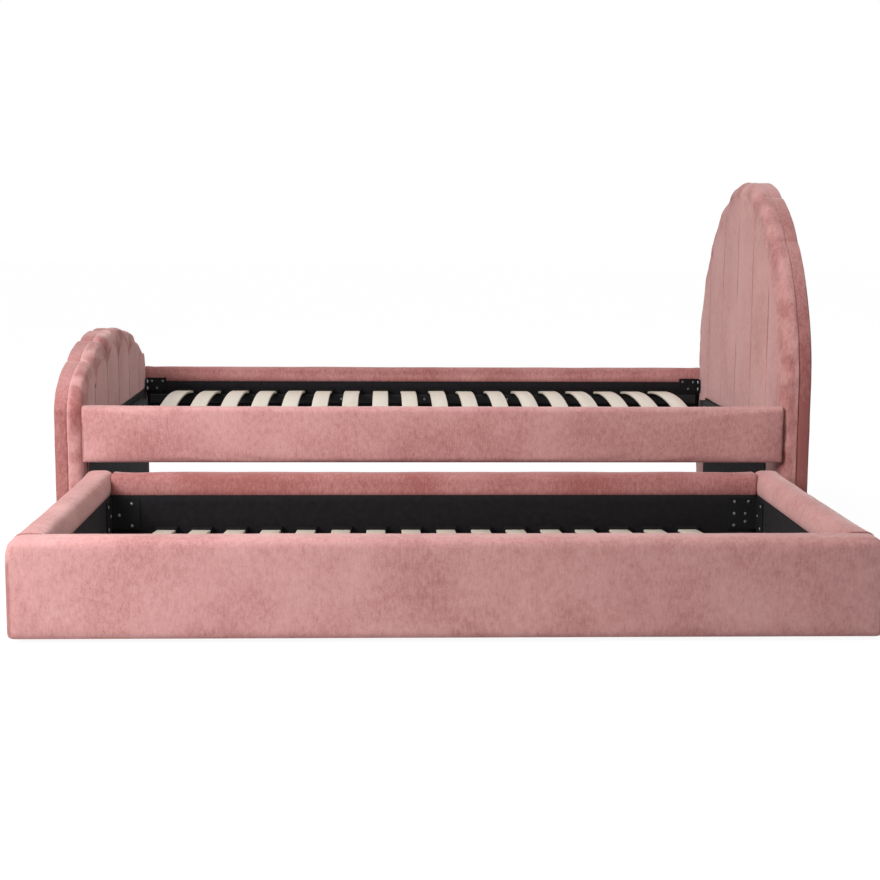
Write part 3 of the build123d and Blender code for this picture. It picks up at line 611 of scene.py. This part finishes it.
# The band's tuck is painted shade along its joint with the channels.
band = {"legLoops": 36, "lobeLoops": 45, "recess": 0.0016, "uneven": 0.001, "unevenScale": 18.0,
        "unevenSeed": 1.7, "topSeam": 0.88, "tuck": 0.2, "tuckShare": 0.02}
bandShares = [  # how far across the band, and how deep below the outline
    (0.0, 0.0065), (0.0, 0.0045), (0.04, 0.0024), (0.14, 0.0008), (0.35, 0.0), (0.65, 0.0),
    (0.88, 0.0008), (0.97, 0.0022), (1.0, 0.004), (1.0, 0.006)]


def makeBoardBand(name):
    # The flat padded band round the edge, behind the channels
    board = boards[name]
    low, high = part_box(name + "_border")
    near = low.x if board["side"] > 0 else high.x
    depth = high.x - low.x
    legs = np.linspace(channels["floor"], board["spring"], band["legLoops"])
    outline = [np.stack([np.full(len(legs), -boardHalf), legs], axis=1)]
    for number in range(channels["count"]):
        start = -boardHalf + number * channelWidth
        lobe = archLine(board, start, start + channelWidth, 0)
        outline.append(resample(lobe, np.linspace(0, 1, band["lobeLoops"]))[1:])
    outline.append(np.stack([np.full(len(legs) - 1, boardHalf), legs[-2::-1]], axis=1))
    outline = np.vstack(outline)
    slope = np.gradient(outline, axis=0)
    inward = np.stack([slope[:, 1], -slope[:, 0]], axis=1) / np.linalg.norm(slope, axis=1)[:, None]
    points, faces, napShades, seamShades = [], [], [], []
    for share, sink in bandShares:
        place = near + board["side"] * depth * share
        for (side, height), (inSide, inHeight) in zip(outline, inward):
            # On top of the board the seam is shallow, and the band's painted shade, on its face and along
            # its joint with the channels, is lighter there
            topmost = abs(inHeight) if height > board["spring"] else 0
            deep = band["recess"] + sink * (1 - band["topSeam"] * topmost)
            points.append((place, bedMiddle + side + inSide * deep,
                           max(height + inHeight * deep, channels["floor"])))
            napShades.append(board["nap"] * (1 - board["topNap"] * topmost))
            seamShades.append(band["tuck"] * (1 - topmost) if share < band["tuckShare"] else 0.0)
    size, loops = len(outline), len(bandShares)
    for loop in range(loops):
        for index in range(size - 1):
            a, b = loop * size + index, ((loop + 1) % loops) * size + index
            faces.append((a, a + 1, b + 1, b))
    for index in (0, size - 1):
        faces.append([loop * size + index for loop in range(loops)])
    piece = makePiece(name + "Band", points, faces)
    pointOutwards(piece)
    uneven = softNoise(readVectors(piece.data), band["unevenScale"], band["unevenSeed"])
    pushOut(piece, band["uneven"] * uneven)
    # Painted shade: the band is darkened by its nap, and along its joint by its tuck.
    markPoints(piece, "tuck", seamShades)
    markPoints(piece, "crush", napShades)
    subdivideOnce(piece)
    pointOutwards(piece)
    dress(piece, name + "_border")
    print("made", piece.name)


skins = {"inset": 0.0075, "topInset": 0.003, "columns": 96, "rows": 60, "thick": 0.0016, "clear": 0.0007,
         "sag": 0.0007, "sagScale": 9, "sagSeed": 4.0, "edge": 0.05, "edgeRows": 8}


def makeBoardSkin(name):
    # The cloth on the far side of a board, drawn flat and tacked at its edge
    board = boards[name]
    low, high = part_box(board["skin"])
    far = high.x if board["side"] > 0 else low.x
    half, floor = boardHalf - skins["inset"], channels["floor"]
    columns, rows = skins["columns"], skins["rows"]
    spots = -half * np.cos(np.linspace(0, math.pi, columns))
    starts = np.arange(channels["count"]) * channelWidth - boardHalf
    edge = np.vstack([archLine(board, start, start + channelWidth, skins["topInset"]) for start in starts])
    tops = np.interp(spots, edge[:, 0], edge[:, 1])
    points = []
    for layer in (0, 1):
        for row in range(rows):
            share = row / (rows - 1)
            for side, top in zip(spots, tops):
                height = floor + (top - floor) * share
                room = min(1, share * skins["edgeRows"], (1 - share) * skins["edgeRows"],
                           (half - abs(side)) / skins["edge"])
                spot = Vector((side * skins["sagScale"], height * skins["sagScale"], skins["sagSeed"]))
                sag = skins["sag"] * noise.noise(spot) * room
                place = far - board["side"] * (skins["clear"] + skins["thick"] * (1 - layer)) + sag
                points.append((place, bedMiddle + side, height))
    piece = makePiece(name + "Skin", points, twoLayerFaces(rows, columns))
    pointOutwards(piece)
    dress(piece, board["skin"])
    print("made", piece.name)


for boardName in boards:
    makeBoardPad(boardName)
    makeBoardBand(boardName)
    makeBoardSkin(boardName)


# Padded walls: cloth and foam round a timber, with a shallow step inside for the lining. Ends
# gives how far the cover turns in at its low and its high end, reach how far it presses into the
# boards, and grow how far it stands out from the solid all round.

# Nap is painted shade: the share by which a cover's pile is darkened all over, most on the back rail and the
# trundle rear.
railWall = {"axis": 0, "skirt": 0.375, "round": 0.012, "foot": 0.007, "ends": (0.005, 0.005),
            "corner": 0.0, "reach": 0.01, "grow": -0.0014}
trundleWall = {"skirt": 0.186, "round": 0.024, "foot": 0.007, "corner": 0.0, "reach": 0.0,
               "grow": -0.0014}
trundleSide = {**trundleWall, "axis": 1, "ends": (0.002, 0.011), "nap": 0.15}
walls = {
    "frontRailCover": {**railWall, "node": "front_rail", "inward": 1, "nap": 0.0},
    "backRailCover": {**railWall, "node": "back_rail", "inward": -1, "nap": 0.5},
    "trundleFrontCover": {**trundleWall, "node": "trundle_front", "axis": 0, "inward": 1, "round": 0.019,
                          "foot": 0.01, "ends": (0.014, 0.014), "corner": 0.034, "nap": 0.0,
                          "grow": 0.0025},
    "trundleRearCover": {**trundleWall, "node": "trundle_rear", "axis": 0, "inward": -1,
                         "ends": (0.008, 0.008), "nap": 0.87},
    "trundleHeadCover": {**trundleSide, "node": "trundle_head_side", "inward": -1},
    "trundleFootCover": {**trundleSide, "node": "trundle_foot_side", "inward": 1},
}
# The cover's section: its points and turns, and the step that it makes for the lining
wallShape = {"loop": 64, "turnPoints": 7, "leastRound": 0.003, "leastFoot": 0.002, "behind": 0.0014,
             "lining": 0.002, "liningFoot": 0.012, "slack": 0.0006, "bevel": 0.3, "lip": 0.2,
             "turnIn": 0.6, "caps": (0.06, 0.4, 0.72, 0.9)}
# Where the foam is held, how the cloth lies on it, and how deep the painted shade is at the seam by the
# lining and in crushed patches of pile
wallFill = {"cap": 0.0035, "step": 0.013, "endSteps": 8, "linedFrom": 0.7, "heldEdge": 0.004,
            "heldEnd": 0.9, "uneven": 0.0011, "unevenScale": 9.0, "pucker": 0.0015,
            "puckerReach": 0.09, "footPucker": 0.6, "footReach": 0.03, "puckerScale": 42.0,
            "puckerSeed": 2.0, "puckerStretch": 0.3, "seam": 0.5, "seamFoot": 0.01, "seamTop": 0.003,
            "crush": 0.22, "patches": {"scale": 6.0, "seed": 8.5, "base": 0.3, "gain": 1.8,
                                       "limits": (0, 1)}}


def wallSection(wall, width, bottom, top, shrink):
    # Across runs from the outer face (0) to the inner face (width)
    low, high = bottom + shrink, top - shrink
    outer, inner = shrink, width - max(shrink, wallShape["behind"])
    step, bevel = wallShape["lining"], wallShape["lining"] * wallShape["bevel"]
    line = []

    def turn(centreAcross, centreUp, radius, first, last):
        for share in np.linspace(0, 1, wallShape["turnPoints"]):
            angle = math.radians(first + (last - first) * share)
            line.append((centreAcross + radius * math.cos(angle), centreUp + radius * math.sin(angle)))

    upper = max(wall["round"] - shrink / 2, wallShape["leastRound"])
    foot = max(wall["foot"] - shrink / 2, wallShape["leastFoot"])
    lined, liningFoot = inner - step - wallShape["slack"], bottom + wallShape["liningFoot"]
    turn(outer + foot, low + foot, foot, 270, 180)
    turn(outer + upper, high - upper, upper, 180, 90)
    turn(inner - upper, high - upper, upper, 90, 0)
    line += [(inner, wall["skirt"] + step), (inner - bevel, wall["skirt"] + step * wallShape["lip"]),
             (lined, wall["skirt"]), (lined, liningFoot), (inner - bevel, liningFoot - bevel)]
    turn(inner - foot, low + foot, foot, 0, -90)
    line.append(line[0])
    return resample(line, np.linspace(0, 1, wallShape["loop"], endpoint=False))


def wallStations(wall, length):
    # How far along each loop of the cover lies; they lie closer together near the ends
    starts = [max(wall["corner"], end) for end in wall["ends"]]
    bend = 1 - np.cos(np.linspace(0, math.pi / 2, wallFill["endSteps"])[:-1])
    middle = np.linspace(starts[0], length - starts[1], int(length / wallFill["step"]))
    return np.concatenate([starts[0] * bend, middle, (length - starts[1] * bend)[::-1]])


def makeWall(name):
    wall = walls[name]
    low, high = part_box(wall["node"] + "_upholstery")
    axis, other = wall["axis"], 1 - wall["axis"]
    outer, inner = (low[other], high[other]) if wall["inward"] > 0 else (high[other], low[other])
    low[axis], high[axis] = low[axis] - wall["reach"], high[axis] + wall["reach"]
    width, length = abs(inner - outer), high[axis] - low[axis]
    loops, held, puckers = [], [], []
    for station in wallStations(wall, length):
        edge, end = min((station, wall["ends"][0]), (length - station, wall["ends"][1]))
        turned = max(0.0, 1 - edge / end)
        shrink = -wall["grow"] + wallShape["turnIn"] * end * (1 - math.sqrt(1 - turned ** 2))
        drop = 0.0
        if edge < wall["corner"]:
            drop = wall["corner"] - math.sqrt(wall["corner"] ** 2 - (wall["corner"] - edge) ** 2)
        loop = []
        for across, up in wallSection(wall, width, low.z, high.z - drop, shrink):
            loop.append(spotAlong(axis, low[axis] + station, outer + wall["inward"] * across, up))
            lined = across > width * wallFill["linedFrom"] and up < wall["skirt"] + wallFill["heldEdge"]
            closed = edge < end * wallFill["heldEnd"] or up < low.z + wallFill["heldEdge"]
            held.append(1.0 if lined or closed else 0.0)
            nearFoot = max(0, 1 - (up - low.z) / wallFill["footReach"])
            puckers.append(max(0, 1 - edge / wallFill["puckerReach"]) + wallFill["footPucker"] * nearFoot)
        loops.append(np.array(loop))
    # Each end is closed by smaller loops round its middle
    size, shares = wallShape["loop"], wallShape["caps"]
    for last in (False, True):
        rim = loops[-1] if last else loops[0]
        inside = [rim.mean(axis=0) + (rim - rim.mean(axis=0)) * share for share in shares]
        loops = loops + inside[::-1] if last else inside + loops
    capped = np.ones(len(shares) * size)
    held, puckers = np.concatenate([capped, held, capped]), np.concatenate([0 * capped, puckers, 0 * capped])
    points = np.vstack(loops)
    faces = [list(range(size)), list(range(len(points) - size, len(points)))]
    piece = makePiece(name, points, faces + tubeFaces(len(loops), size))
    pointOutwards(piece)
    puffUp(piece, held, wallFill["cap"])
    place = readVectors(piece.data)
    uneven = wallFill["uneven"] * softNoise(place, wallFill["unevenScale"], len(name))
    stretch = np.full(3, wallFill["puckerStretch"])
    stretch[axis] = 1.0
    folds = softNoise(place * stretch, wallFill["puckerScale"], wallFill["puckerSeed"])
    folds *= wallFill["pucker"] * np.clip(puckers, 0, 1)
    pushOut(piece, (uneven + folds) * (1 - held))
    up = place[:, 2]
    # Painted shade: the tuck mark darkens the seam where the cover meets the lining, and the crush mark
    # darkens the cover by its nap and in patches.
    inSeam = (held > 0) & (up > low.z + wallFill["seamFoot"]) & (up < wall["skirt"] + wallFill["seamTop"])
    markPoints(piece, "tuck", wallFill["seam"] * inSeam)
    patches = softPatches(place, wallFill["patches"])
    markPoints(piece, "crush", wall["nap"] + wallFill["crush"] * patches * (1 - wall["nap"]))
    subdivideOnce(piece)
    dress(piece, wall["node"] + "_upholstery")
    print("made", piece.name, len(piece.data.polygons), "faces")


for wallName in walls:
    makeWall(wallName)


# Linings: thin black cloth, stapled along its upper and lower edges

linings = {"reach": 0.007, "step": 0.022, "thick": 0.0012, "clear": 0.0002, "loose": 0.0004,
           "ripple": 0.0005, "rippleScales": (7, 16), "rippleSeed": 2.5, "spacing": 0.07,
           "dimple": 0.0004, "dimpleRows": 2}


def makeLining(node):
    low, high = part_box(node)
    axis = 0 if high.x - low.x > high.y - low.y else 1
    other = 1 - axis
    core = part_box(node.replace("_lining", "_core"))
    coreMiddle = (core[0][other] + core[1][other]) / 2
    back, facing = (low[other], 1) if coreMiddle < low[other] else (high[other], -1)
    if nodeBodies[node] == "bed" and axis == 0:
        low[axis], high[axis] = low[axis] - linings["reach"], high[axis] + linings["reach"]
    columns = max(2, int((high[axis] - low[axis]) / linings["step"]))
    rows = max(2, int((high.z - low.z) / linings["step"]))
    wide, tall = linings["rippleScales"]
    points = []
    for layer in range(2):
        for row in range(rows + 1):
            for column in range(columns + 1):
                along = low[axis] + (high[axis] - low[axis]) * column / columns
                up = low.z + (high.z - low.z) * row / rows
                ripple = noise.noise(Vector((along * wide, up * tall, linings["rippleSeed"])))
                edge = min(row, rows - row) / linings["dimpleRows"]
                dimple = linings["dimple"] * math.cos(2 * math.pi * along / linings["spacing"])
                lift = linings["ripple"] * ripple + dimple * math.exp(-edge * edge)
                off = linings["thick"] + linings["loose"] + lift if layer else linings["clear"]
                points.append(spotAlong(axis, along, back + facing * off, up))
    words = node.split("_")
    piece = makePiece(words[0] + "".join(word.capitalize() for word in words[1:]), points,
                      twoLayerFaces(rows + 1, columns + 1))
    pointOutwards(piece)
    dress(piece, node)


for nodeName in nodeBodies:
    if nodeName.endswith("_lining"):
        makeLining(nodeName)
print("linings made")


# What repeats is laid out by geometry nodes


def newLayout(name, inputs):
    tree = bpy.data.node_groups.new(name, "GeometryNodeTree")
    tree.interface.new_socket("Geometry", in_out="INPUT", socket_type="NodeSocketGeometry")
    for label, kind in inputs.items():
        tree.interface.new_socket(label, in_out="INPUT", socket_type="NodeSocket" + kind)
    tree.interface.new_socket("Geometry", in_out="OUTPUT", socket_type="NodeSocketGeometry")
    return tree, tree.nodes.new("NodeGroupInput").outputs, tree.nodes.new("NodeGroupOutput")


def closeLayout(tree, copies, finish, given):
    whole = addNode(tree, "GeometryNodeRealizeInstances", {"Geometry": copies}).outputs[0]
    painted = addNode(tree, "GeometryNodeSetMaterial", {"Geometry": whole, "Material": finish})
    tree.links.new(painted.outputs[0], given.inputs[0])
    return tree


slatShape = {"width": 0.054, "thick": 0.008, "edge": 0.0022, "stations": 33, "tint": 0.8,
             "jitter": (0.0008, 0, 0.0012)}


def makeRowLayout():
    # Copies of one slat in a straight row, each turned a hair and with its own tint
    tree, taken, given = newLayout("slatRow", {"Slat": "Object", "Count": "Int", "Start": "Vector",
                                               "Step": "Vector", "Seed": "Int", "Finish": "Material"})
    line = addNode(tree, "GeometryNodeMeshLine", {
        "Count": taken["Count"], "Start Location": taken["Start"], "Offset": taken["Step"]}).outputs[0]
    slat = addNode(tree, "GeometryNodeObjectInfo", {"Object": taken["Slat"]}).outputs["Geometry"]
    most = slatShape["jitter"]
    jitter = addNode(tree, "FunctionNodeRandomValue", {
        0: [-turn for turn in most], 1: most, "Seed": taken["Seed"]}, data_type="FLOAT_VECTOR").outputs[0]
    copies = addNode(tree, "GeometryNodeInstanceOnPoints", {
        "Points": line, "Instance": slat, "Rotation": jitter}).outputs[0]
    tint = addNode(tree, "FunctionNodeRandomValue", {2: 0.0, 3: slatShape["tint"], "Seed": taken["Seed"]},
                   data_type="FLOAT").outputs[1]
    stored = addNode(tree, "GeometryNodeStoreNamedAttribute", {
        "Geometry": copies, "Name": "tint", "Value": tint}, data_type="FLOAT", domain="INSTANCE")
    return closeLayout(tree, stored.outputs[0], taken["Finish"], given)


def makeScatterLayout():
    # Copies of one small part at marked points, its top turned to each point's facing
    tree, taken, given = newLayout("fastenerPlaces", {"Fastener": "Object", "Seed": "Int",
                                                      "Finish": "Material"})
    facing = addNode(tree, "GeometryNodeInputNamedAttribute", {"Name": "facing"},
                     data_type="FLOAT_VECTOR").outputs[0]
    turned = addNode(tree, "FunctionNodeAlignRotationToVector", {"Vector": facing}, axis="Z").outputs[0]
    part = addNode(tree, "GeometryNodeObjectInfo", {"Object": taken["Fastener"]}).outputs["Geometry"]
    copies = addNode(tree, "GeometryNodeInstanceOnPoints", {
        "Points": taken["Geometry"], "Instance": part, "Rotation": turned}).outputs[0]
    spin = addNode(tree, "FunctionNodeRandomValue", {1: (0, 0, math.pi), "Seed": taken["Seed"]},
                   data_type="FLOAT_VECTOR").outputs[0]
    spun = addNode(tree, "GeometryNodeRotateInstances", {"Instances": copies, "Rotation": spin})
    return closeLayout(tree, spun.outputs[0], taken["Finish"], given)


layouts = {"row": makeRowLayout(), "scatter": makeScatterLayout()}


def layOut(piece, layout, values):
    modifier = piece.modifiers.new("layout", "NODES")
    modifier.node_group = layouts[layout]
    for item in layouts[layout].interface.items_tree:
        if item.item_type == "SOCKET" and item.in_out == "INPUT" and item.name in values:
            modifier[item.identifier] = values[item.name]
    applyModifiers(piece)


slatRows = {
    "bedSlatsFront": {"node": "bed_slats_front_row", "count": 18, "camber": 0.022, "seed": 4},
    "bedSlatsBack": {"node": "bed_slats_back_row", "count": 18, "camber": 0.022, "seed": 9},
    "trundleSlats": {"node": "trundle_slats", "count": 16, "camber": 0.025, "seed": 15},
}


def makeSlats(name):
    # One bowed slat with rounded edges, then its row
    row, stations = slatRows[name], slatShape["stations"]
    low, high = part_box(row["node"])
    half, thick, edge = slatShape["width"] / 2, slatShape["thick"], slatShape["edge"]
    section = []
    for cornerAcross, cornerUp, turn in ((half - edge, thick - edge, 0), (edge - half, thick - edge, 90),
                                         (edge - half, edge, 180), (half - edge, edge, 270)):
        for share in (0, 0.5, 1):
            angle = math.radians(turn + 90 * share)
            section.append((cornerAcross + edge * math.cos(angle), cornerUp + edge * math.sin(angle)))
    points, span = [], high.y - low.y
    radius = (span * span / 4 + row["camber"] ** 2) / (2 * row["camber"])
    for station in range(stations):
        share = station / (stations - 1)
        offset = (share - 0.5) * span
        rise = math.sqrt(radius ** 2 - offset ** 2) - (radius - row["camber"])
        for across, up in section:
            points.append((across, low.y + share * span, low.z + rise + up))
    size = len(section)
    caps = [list(range(size)), list(range(len(points) - size, len(points)))]
    pattern = makePiece(name + "Pattern", points, tubeFaces(stations, size) + caps)
    pointOutwards(pattern)
    piece = makePiece(name, [(0, 0, 0)], [])
    first, last = low.x + half, high.x - half
    layOut(piece, "row", {
        "Slat": pattern, "Count": row["count"], "Start": (first, 0, 0), "Seed": row["seed"],
        "Step": ((last - first) / (row["count"] - 1), 0, 0), "Finish": finishes["slat"]})
    bpy.data.objects.remove(pattern)
    piece.data.shade_smooth()
    dress(piece, row["node"])


for rowName in slatRows:
    makeSlats(rowName)
print("slats made")

fastenerKinds = {
    "screw": {"radius": 0.0045, "height": 0.0022, "recess": 0.0026, "slot": 0.0009, "shank": 0.0021},
    "bolt": {"radius": 0.007, "height": 0.005, "recess": 0.0032, "slot": 0.0032, "shank": 0.0039},
}
fastenerShape = {"around": 24, "buried": 0.004, "rim": 0.35, "shoulder": (0.86, 0.78), "crown": 0.62,
                 "slotPower": 3}
fastenerNodes = {  # the piece, kind and seed for each node
    "corner_screws": ("cornerScrewHeads", "screw", 1),
    "corner_bolts": ("cornerBoltHeads", "bolt", 2),
    "batten_screws": ("battenScrewHeads", "screw", 3),
    "trundle_corner_screws": ("trundleScrewHeads", "screw", 4),
    "trundle_ledge_screws": ("trundleLedgeScrewHeads", "screw", 5),
    "castor_screws": ("castorScrewHeads", "screw", 6),
}
nearby = {"merge": 1e-6, "end": 1e-4}  # how close points count as one, and as at a fastener's end


def looseParts(mesh):
    # The points of each loose part, which are found by merging points that coincide
    work = bmesh.new()
    work.from_mesh(mesh)
    bmesh.ops.remove_doubles(work, verts=work.verts, dist=nearby["merge"])
    seen, parts = set(), []
    for vert in work.verts:
        if vert in seen:
            continue
        part, queue = [], [vert]
        seen.add(vert)
        while queue:
            here = queue.pop()
            part.append(tuple(here.co))
            for edge in here.link_edges:
                there = edge.other_vert(here)
                if there not in seen:
                    seen.add(there)
                    queue.append(there)
        parts.append(np.array(part))
    work.free()
    return parts


def headPlaces(node, height):
    # Where each fastener's head sits, and which way it faces
    places = []
    for part in looseParts(frame["nodes"][node].data):
        low, high = part.min(0), part.max(0)
        axis = int(np.argmax(high - low))
        middle = (low + high) / 2
        away = np.linalg.norm(np.delete(part - middle, axis, axis=1), axis=1)
        top = away[part[:, axis] > high[axis] - nearby["end"]].max()
        base = away[part[:, axis] < low[axis] + nearby["end"]].max()
        way = 1 if top > base else -1
        spot, facing = middle.copy(), np.zeros(3)
        spot[axis] = (high[axis] if way > 0 else low[axis]) - way * height
        facing[axis] = way
        places.append((spot, facing))
    return places


def makeFastener(kind):
    # A domed head with a cross or hexagonal recess, on a short length of shank
    sizes, shape = fastenerKinds[kind], fastenerShape
    radius, height, around, rim = sizes["radius"], sizes["height"], shape["around"], shape["rim"]
    rings = [(sizes["shank"], -shape["buried"]), (sizes["shank"], 0.0), (radius, 0.0),
             (radius, height * rim), (radius * shape["shoulder"][0], height * shape["shoulder"][1]),
             (radius * shape["crown"], height), (None, height), (None, height * rim)]
    points = []
    for size, up in rings:
        for step in range(around):
            angle = 2 * math.pi * step / around
            reach = size
            if size is None and kind == "screw":
                fold = abs(math.cos(2 * angle)) ** shape["slotPower"]
                reach = sizes["slot"] + (sizes["recess"] - sizes["slot"]) * fold
            elif size is None:
                sixth = (angle % (math.pi / 3)) - math.pi / 6
                reach = sizes["recess"] * math.cos(math.pi / 6) / math.cos(sixth)
            points.append((reach * math.cos(angle), reach * math.sin(angle), up))
    caps = [list(range(around)), list(range(len(points) - around, len(points)))]
    part = makePiece(kind + "Pattern", points, tubeFaces(len(rings), around) + caps, smooth=False)
    pointOutwards(part)
    return part


patterns = {kind: makeFastener(kind) for kind in fastenerKinds}
for nodeName, (pieceName, kind, seed) in fastenerNodes.items():
    places = headPlaces(nodeName, fastenerKinds[kind]["height"])
    piece = makePiece(pieceName, [spot for spot, facing in places], [])
    mark = piece.data.attributes.new("facing", "FLOAT_VECTOR", "POINT")
    mark.data.foreach_set("vector", np.array([facing for spot, facing in places]).ravel())
    layOut(piece, "scatter", {"Fastener": patterns[kind], "Seed": seed, "Finish": finishes["zinc"]})
    dress(piece, nodeName)
for pattern in patterns.values():
    bpy.data.objects.remove(pattern)
print("fasteners made")


# Stage, light and camera

stage = {"floorSize": 60.0, "floorWhite": 0.6, "floorGlow": 1.2, "shadowShare": 0.22, "ambient": 0.43}
lamps = {
    "key": {"place": (-2.6, -2.55, 2.2), "aim": (-0.45, -0.35, 0.4), "size": 1.3, "power": 51,
            "spread": 1.85},
    "fill": {"place": (-0.4, -0.6, 4.2), "aim": (0.0, -0.3, 0.0), "size": 3.0, "power": 48,
             "spread": 3.14},
}


def directView(tree):
    # 1 where the camera, a mirror or glass looks straight at this
    path = addNode(tree, "ShaderNodeLightPath")
    seen = mathNode(tree, "MAXIMUM", path.outputs["Is Camera Ray"], path.outputs["Is Glossy Ray"])
    return mathNode(tree, "MAXIMUM", seen, path.outputs["Is Transmission Ray"])


def makeFloor():
    half = stage["floorSize"] / 2
    floor = makePiece("studioFloor", [(-half, -half, 0), (half, -half, 0), (half, half, 0),
                                      (-half, half, 0)], [(0, 1, 2, 3)], smooth=False)
    material = bpy.data.materials.new("studioWhite")
    material.use_nodes = True
    tree = material.node_tree
    tree.nodes.remove(tree.nodes["Principled BSDF"])
    white = stage["floorWhite"]
    matte = addNode(tree, "ShaderNodeBsdfDiffuse", {"Color": (white, white, white, 1)})
    plain = addNode(tree, "ShaderNodeEmission", {"Color": (1, 1, 1, 1), "Strength": stage["floorGlow"]})
    share = mathNode(tree, "MULTIPLY", directView(tree), 1 - stage["shadowShare"])
    mixed = addNode(tree, "ShaderNodeMixShader", {0: share, 1: matte.outputs[0], 2: plain.outputs[0]})
    tree.links.new(mixed.outputs[0], tree.nodes["Material Output"].inputs[0])
    floor.data.materials.append(material)


def makeWorld():
    world = bpy.data.worlds.new("studio")
    bpy.context.scene.world = world
    world.use_nodes = True
    tree = world.node_tree
    level = stage["ambient"]
    sky = mixColours(tree, directView(tree), (level, level, level, 1), (1, 1, 1, 1))
    tree.links.new(sky, tree.nodes["Background"].inputs["Color"])


def makeLamp(name):
    spec, lamp = lamps[name], bpy.data.lights.new(name, "AREA")
    lamp.shape, lamp.size = "SQUARE", spec["size"]
    lamp.energy, lamp.spread = spec["power"], spec["spread"]
    holder = addObject(name, lamp)
    holder.location = spec["place"]
    ahead = Vector(spec["aim"]) - Vector(spec["place"])
    holder.rotation_euler = ahead.to_track_quat("-Z", "Y").to_euler()


view = {"place": (-0.1564, -4.8003, 0.979), "down": 0.1379, "turn": 0.0365, "roll": 0.0058,
        "focus": 1600, "frame": 880, "sensor": 36.0}


def makeCamera():
    camera = bpy.data.cameras.new("photoView")
    camera.sensor_width = view["sensor"]
    camera.lens = view["sensor"] * view["focus"] / view["frame"]
    holder = addObject("photoView", camera)
    down, turn, roll = view["down"], view["turn"], view["roll"]
    ahead = Vector((math.sin(turn) * math.cos(down), math.cos(turn) * math.cos(down), -math.sin(down)))
    right = Vector((math.cos(turn), -math.sin(turn), 0))
    up = right.cross(ahead)
    rolledRight = math.cos(roll) * right + math.sin(roll) * up
    rolledUp = -math.sin(roll) * right + math.cos(roll) * up
    turned = Matrix((rolledRight, rolledUp, -ahead)).transposed()
    holder.matrix_world = Matrix.Translation(view["place"]) @ turned.to_4x4()
    bpy.context.scene.camera = holder


makeFloor()
makeWorld()
for lampName in lamps:
    makeLamp(lampName)
makeCamera()
bpy.context.scene.view_settings.view_transform = "Standard"
print("stage set")
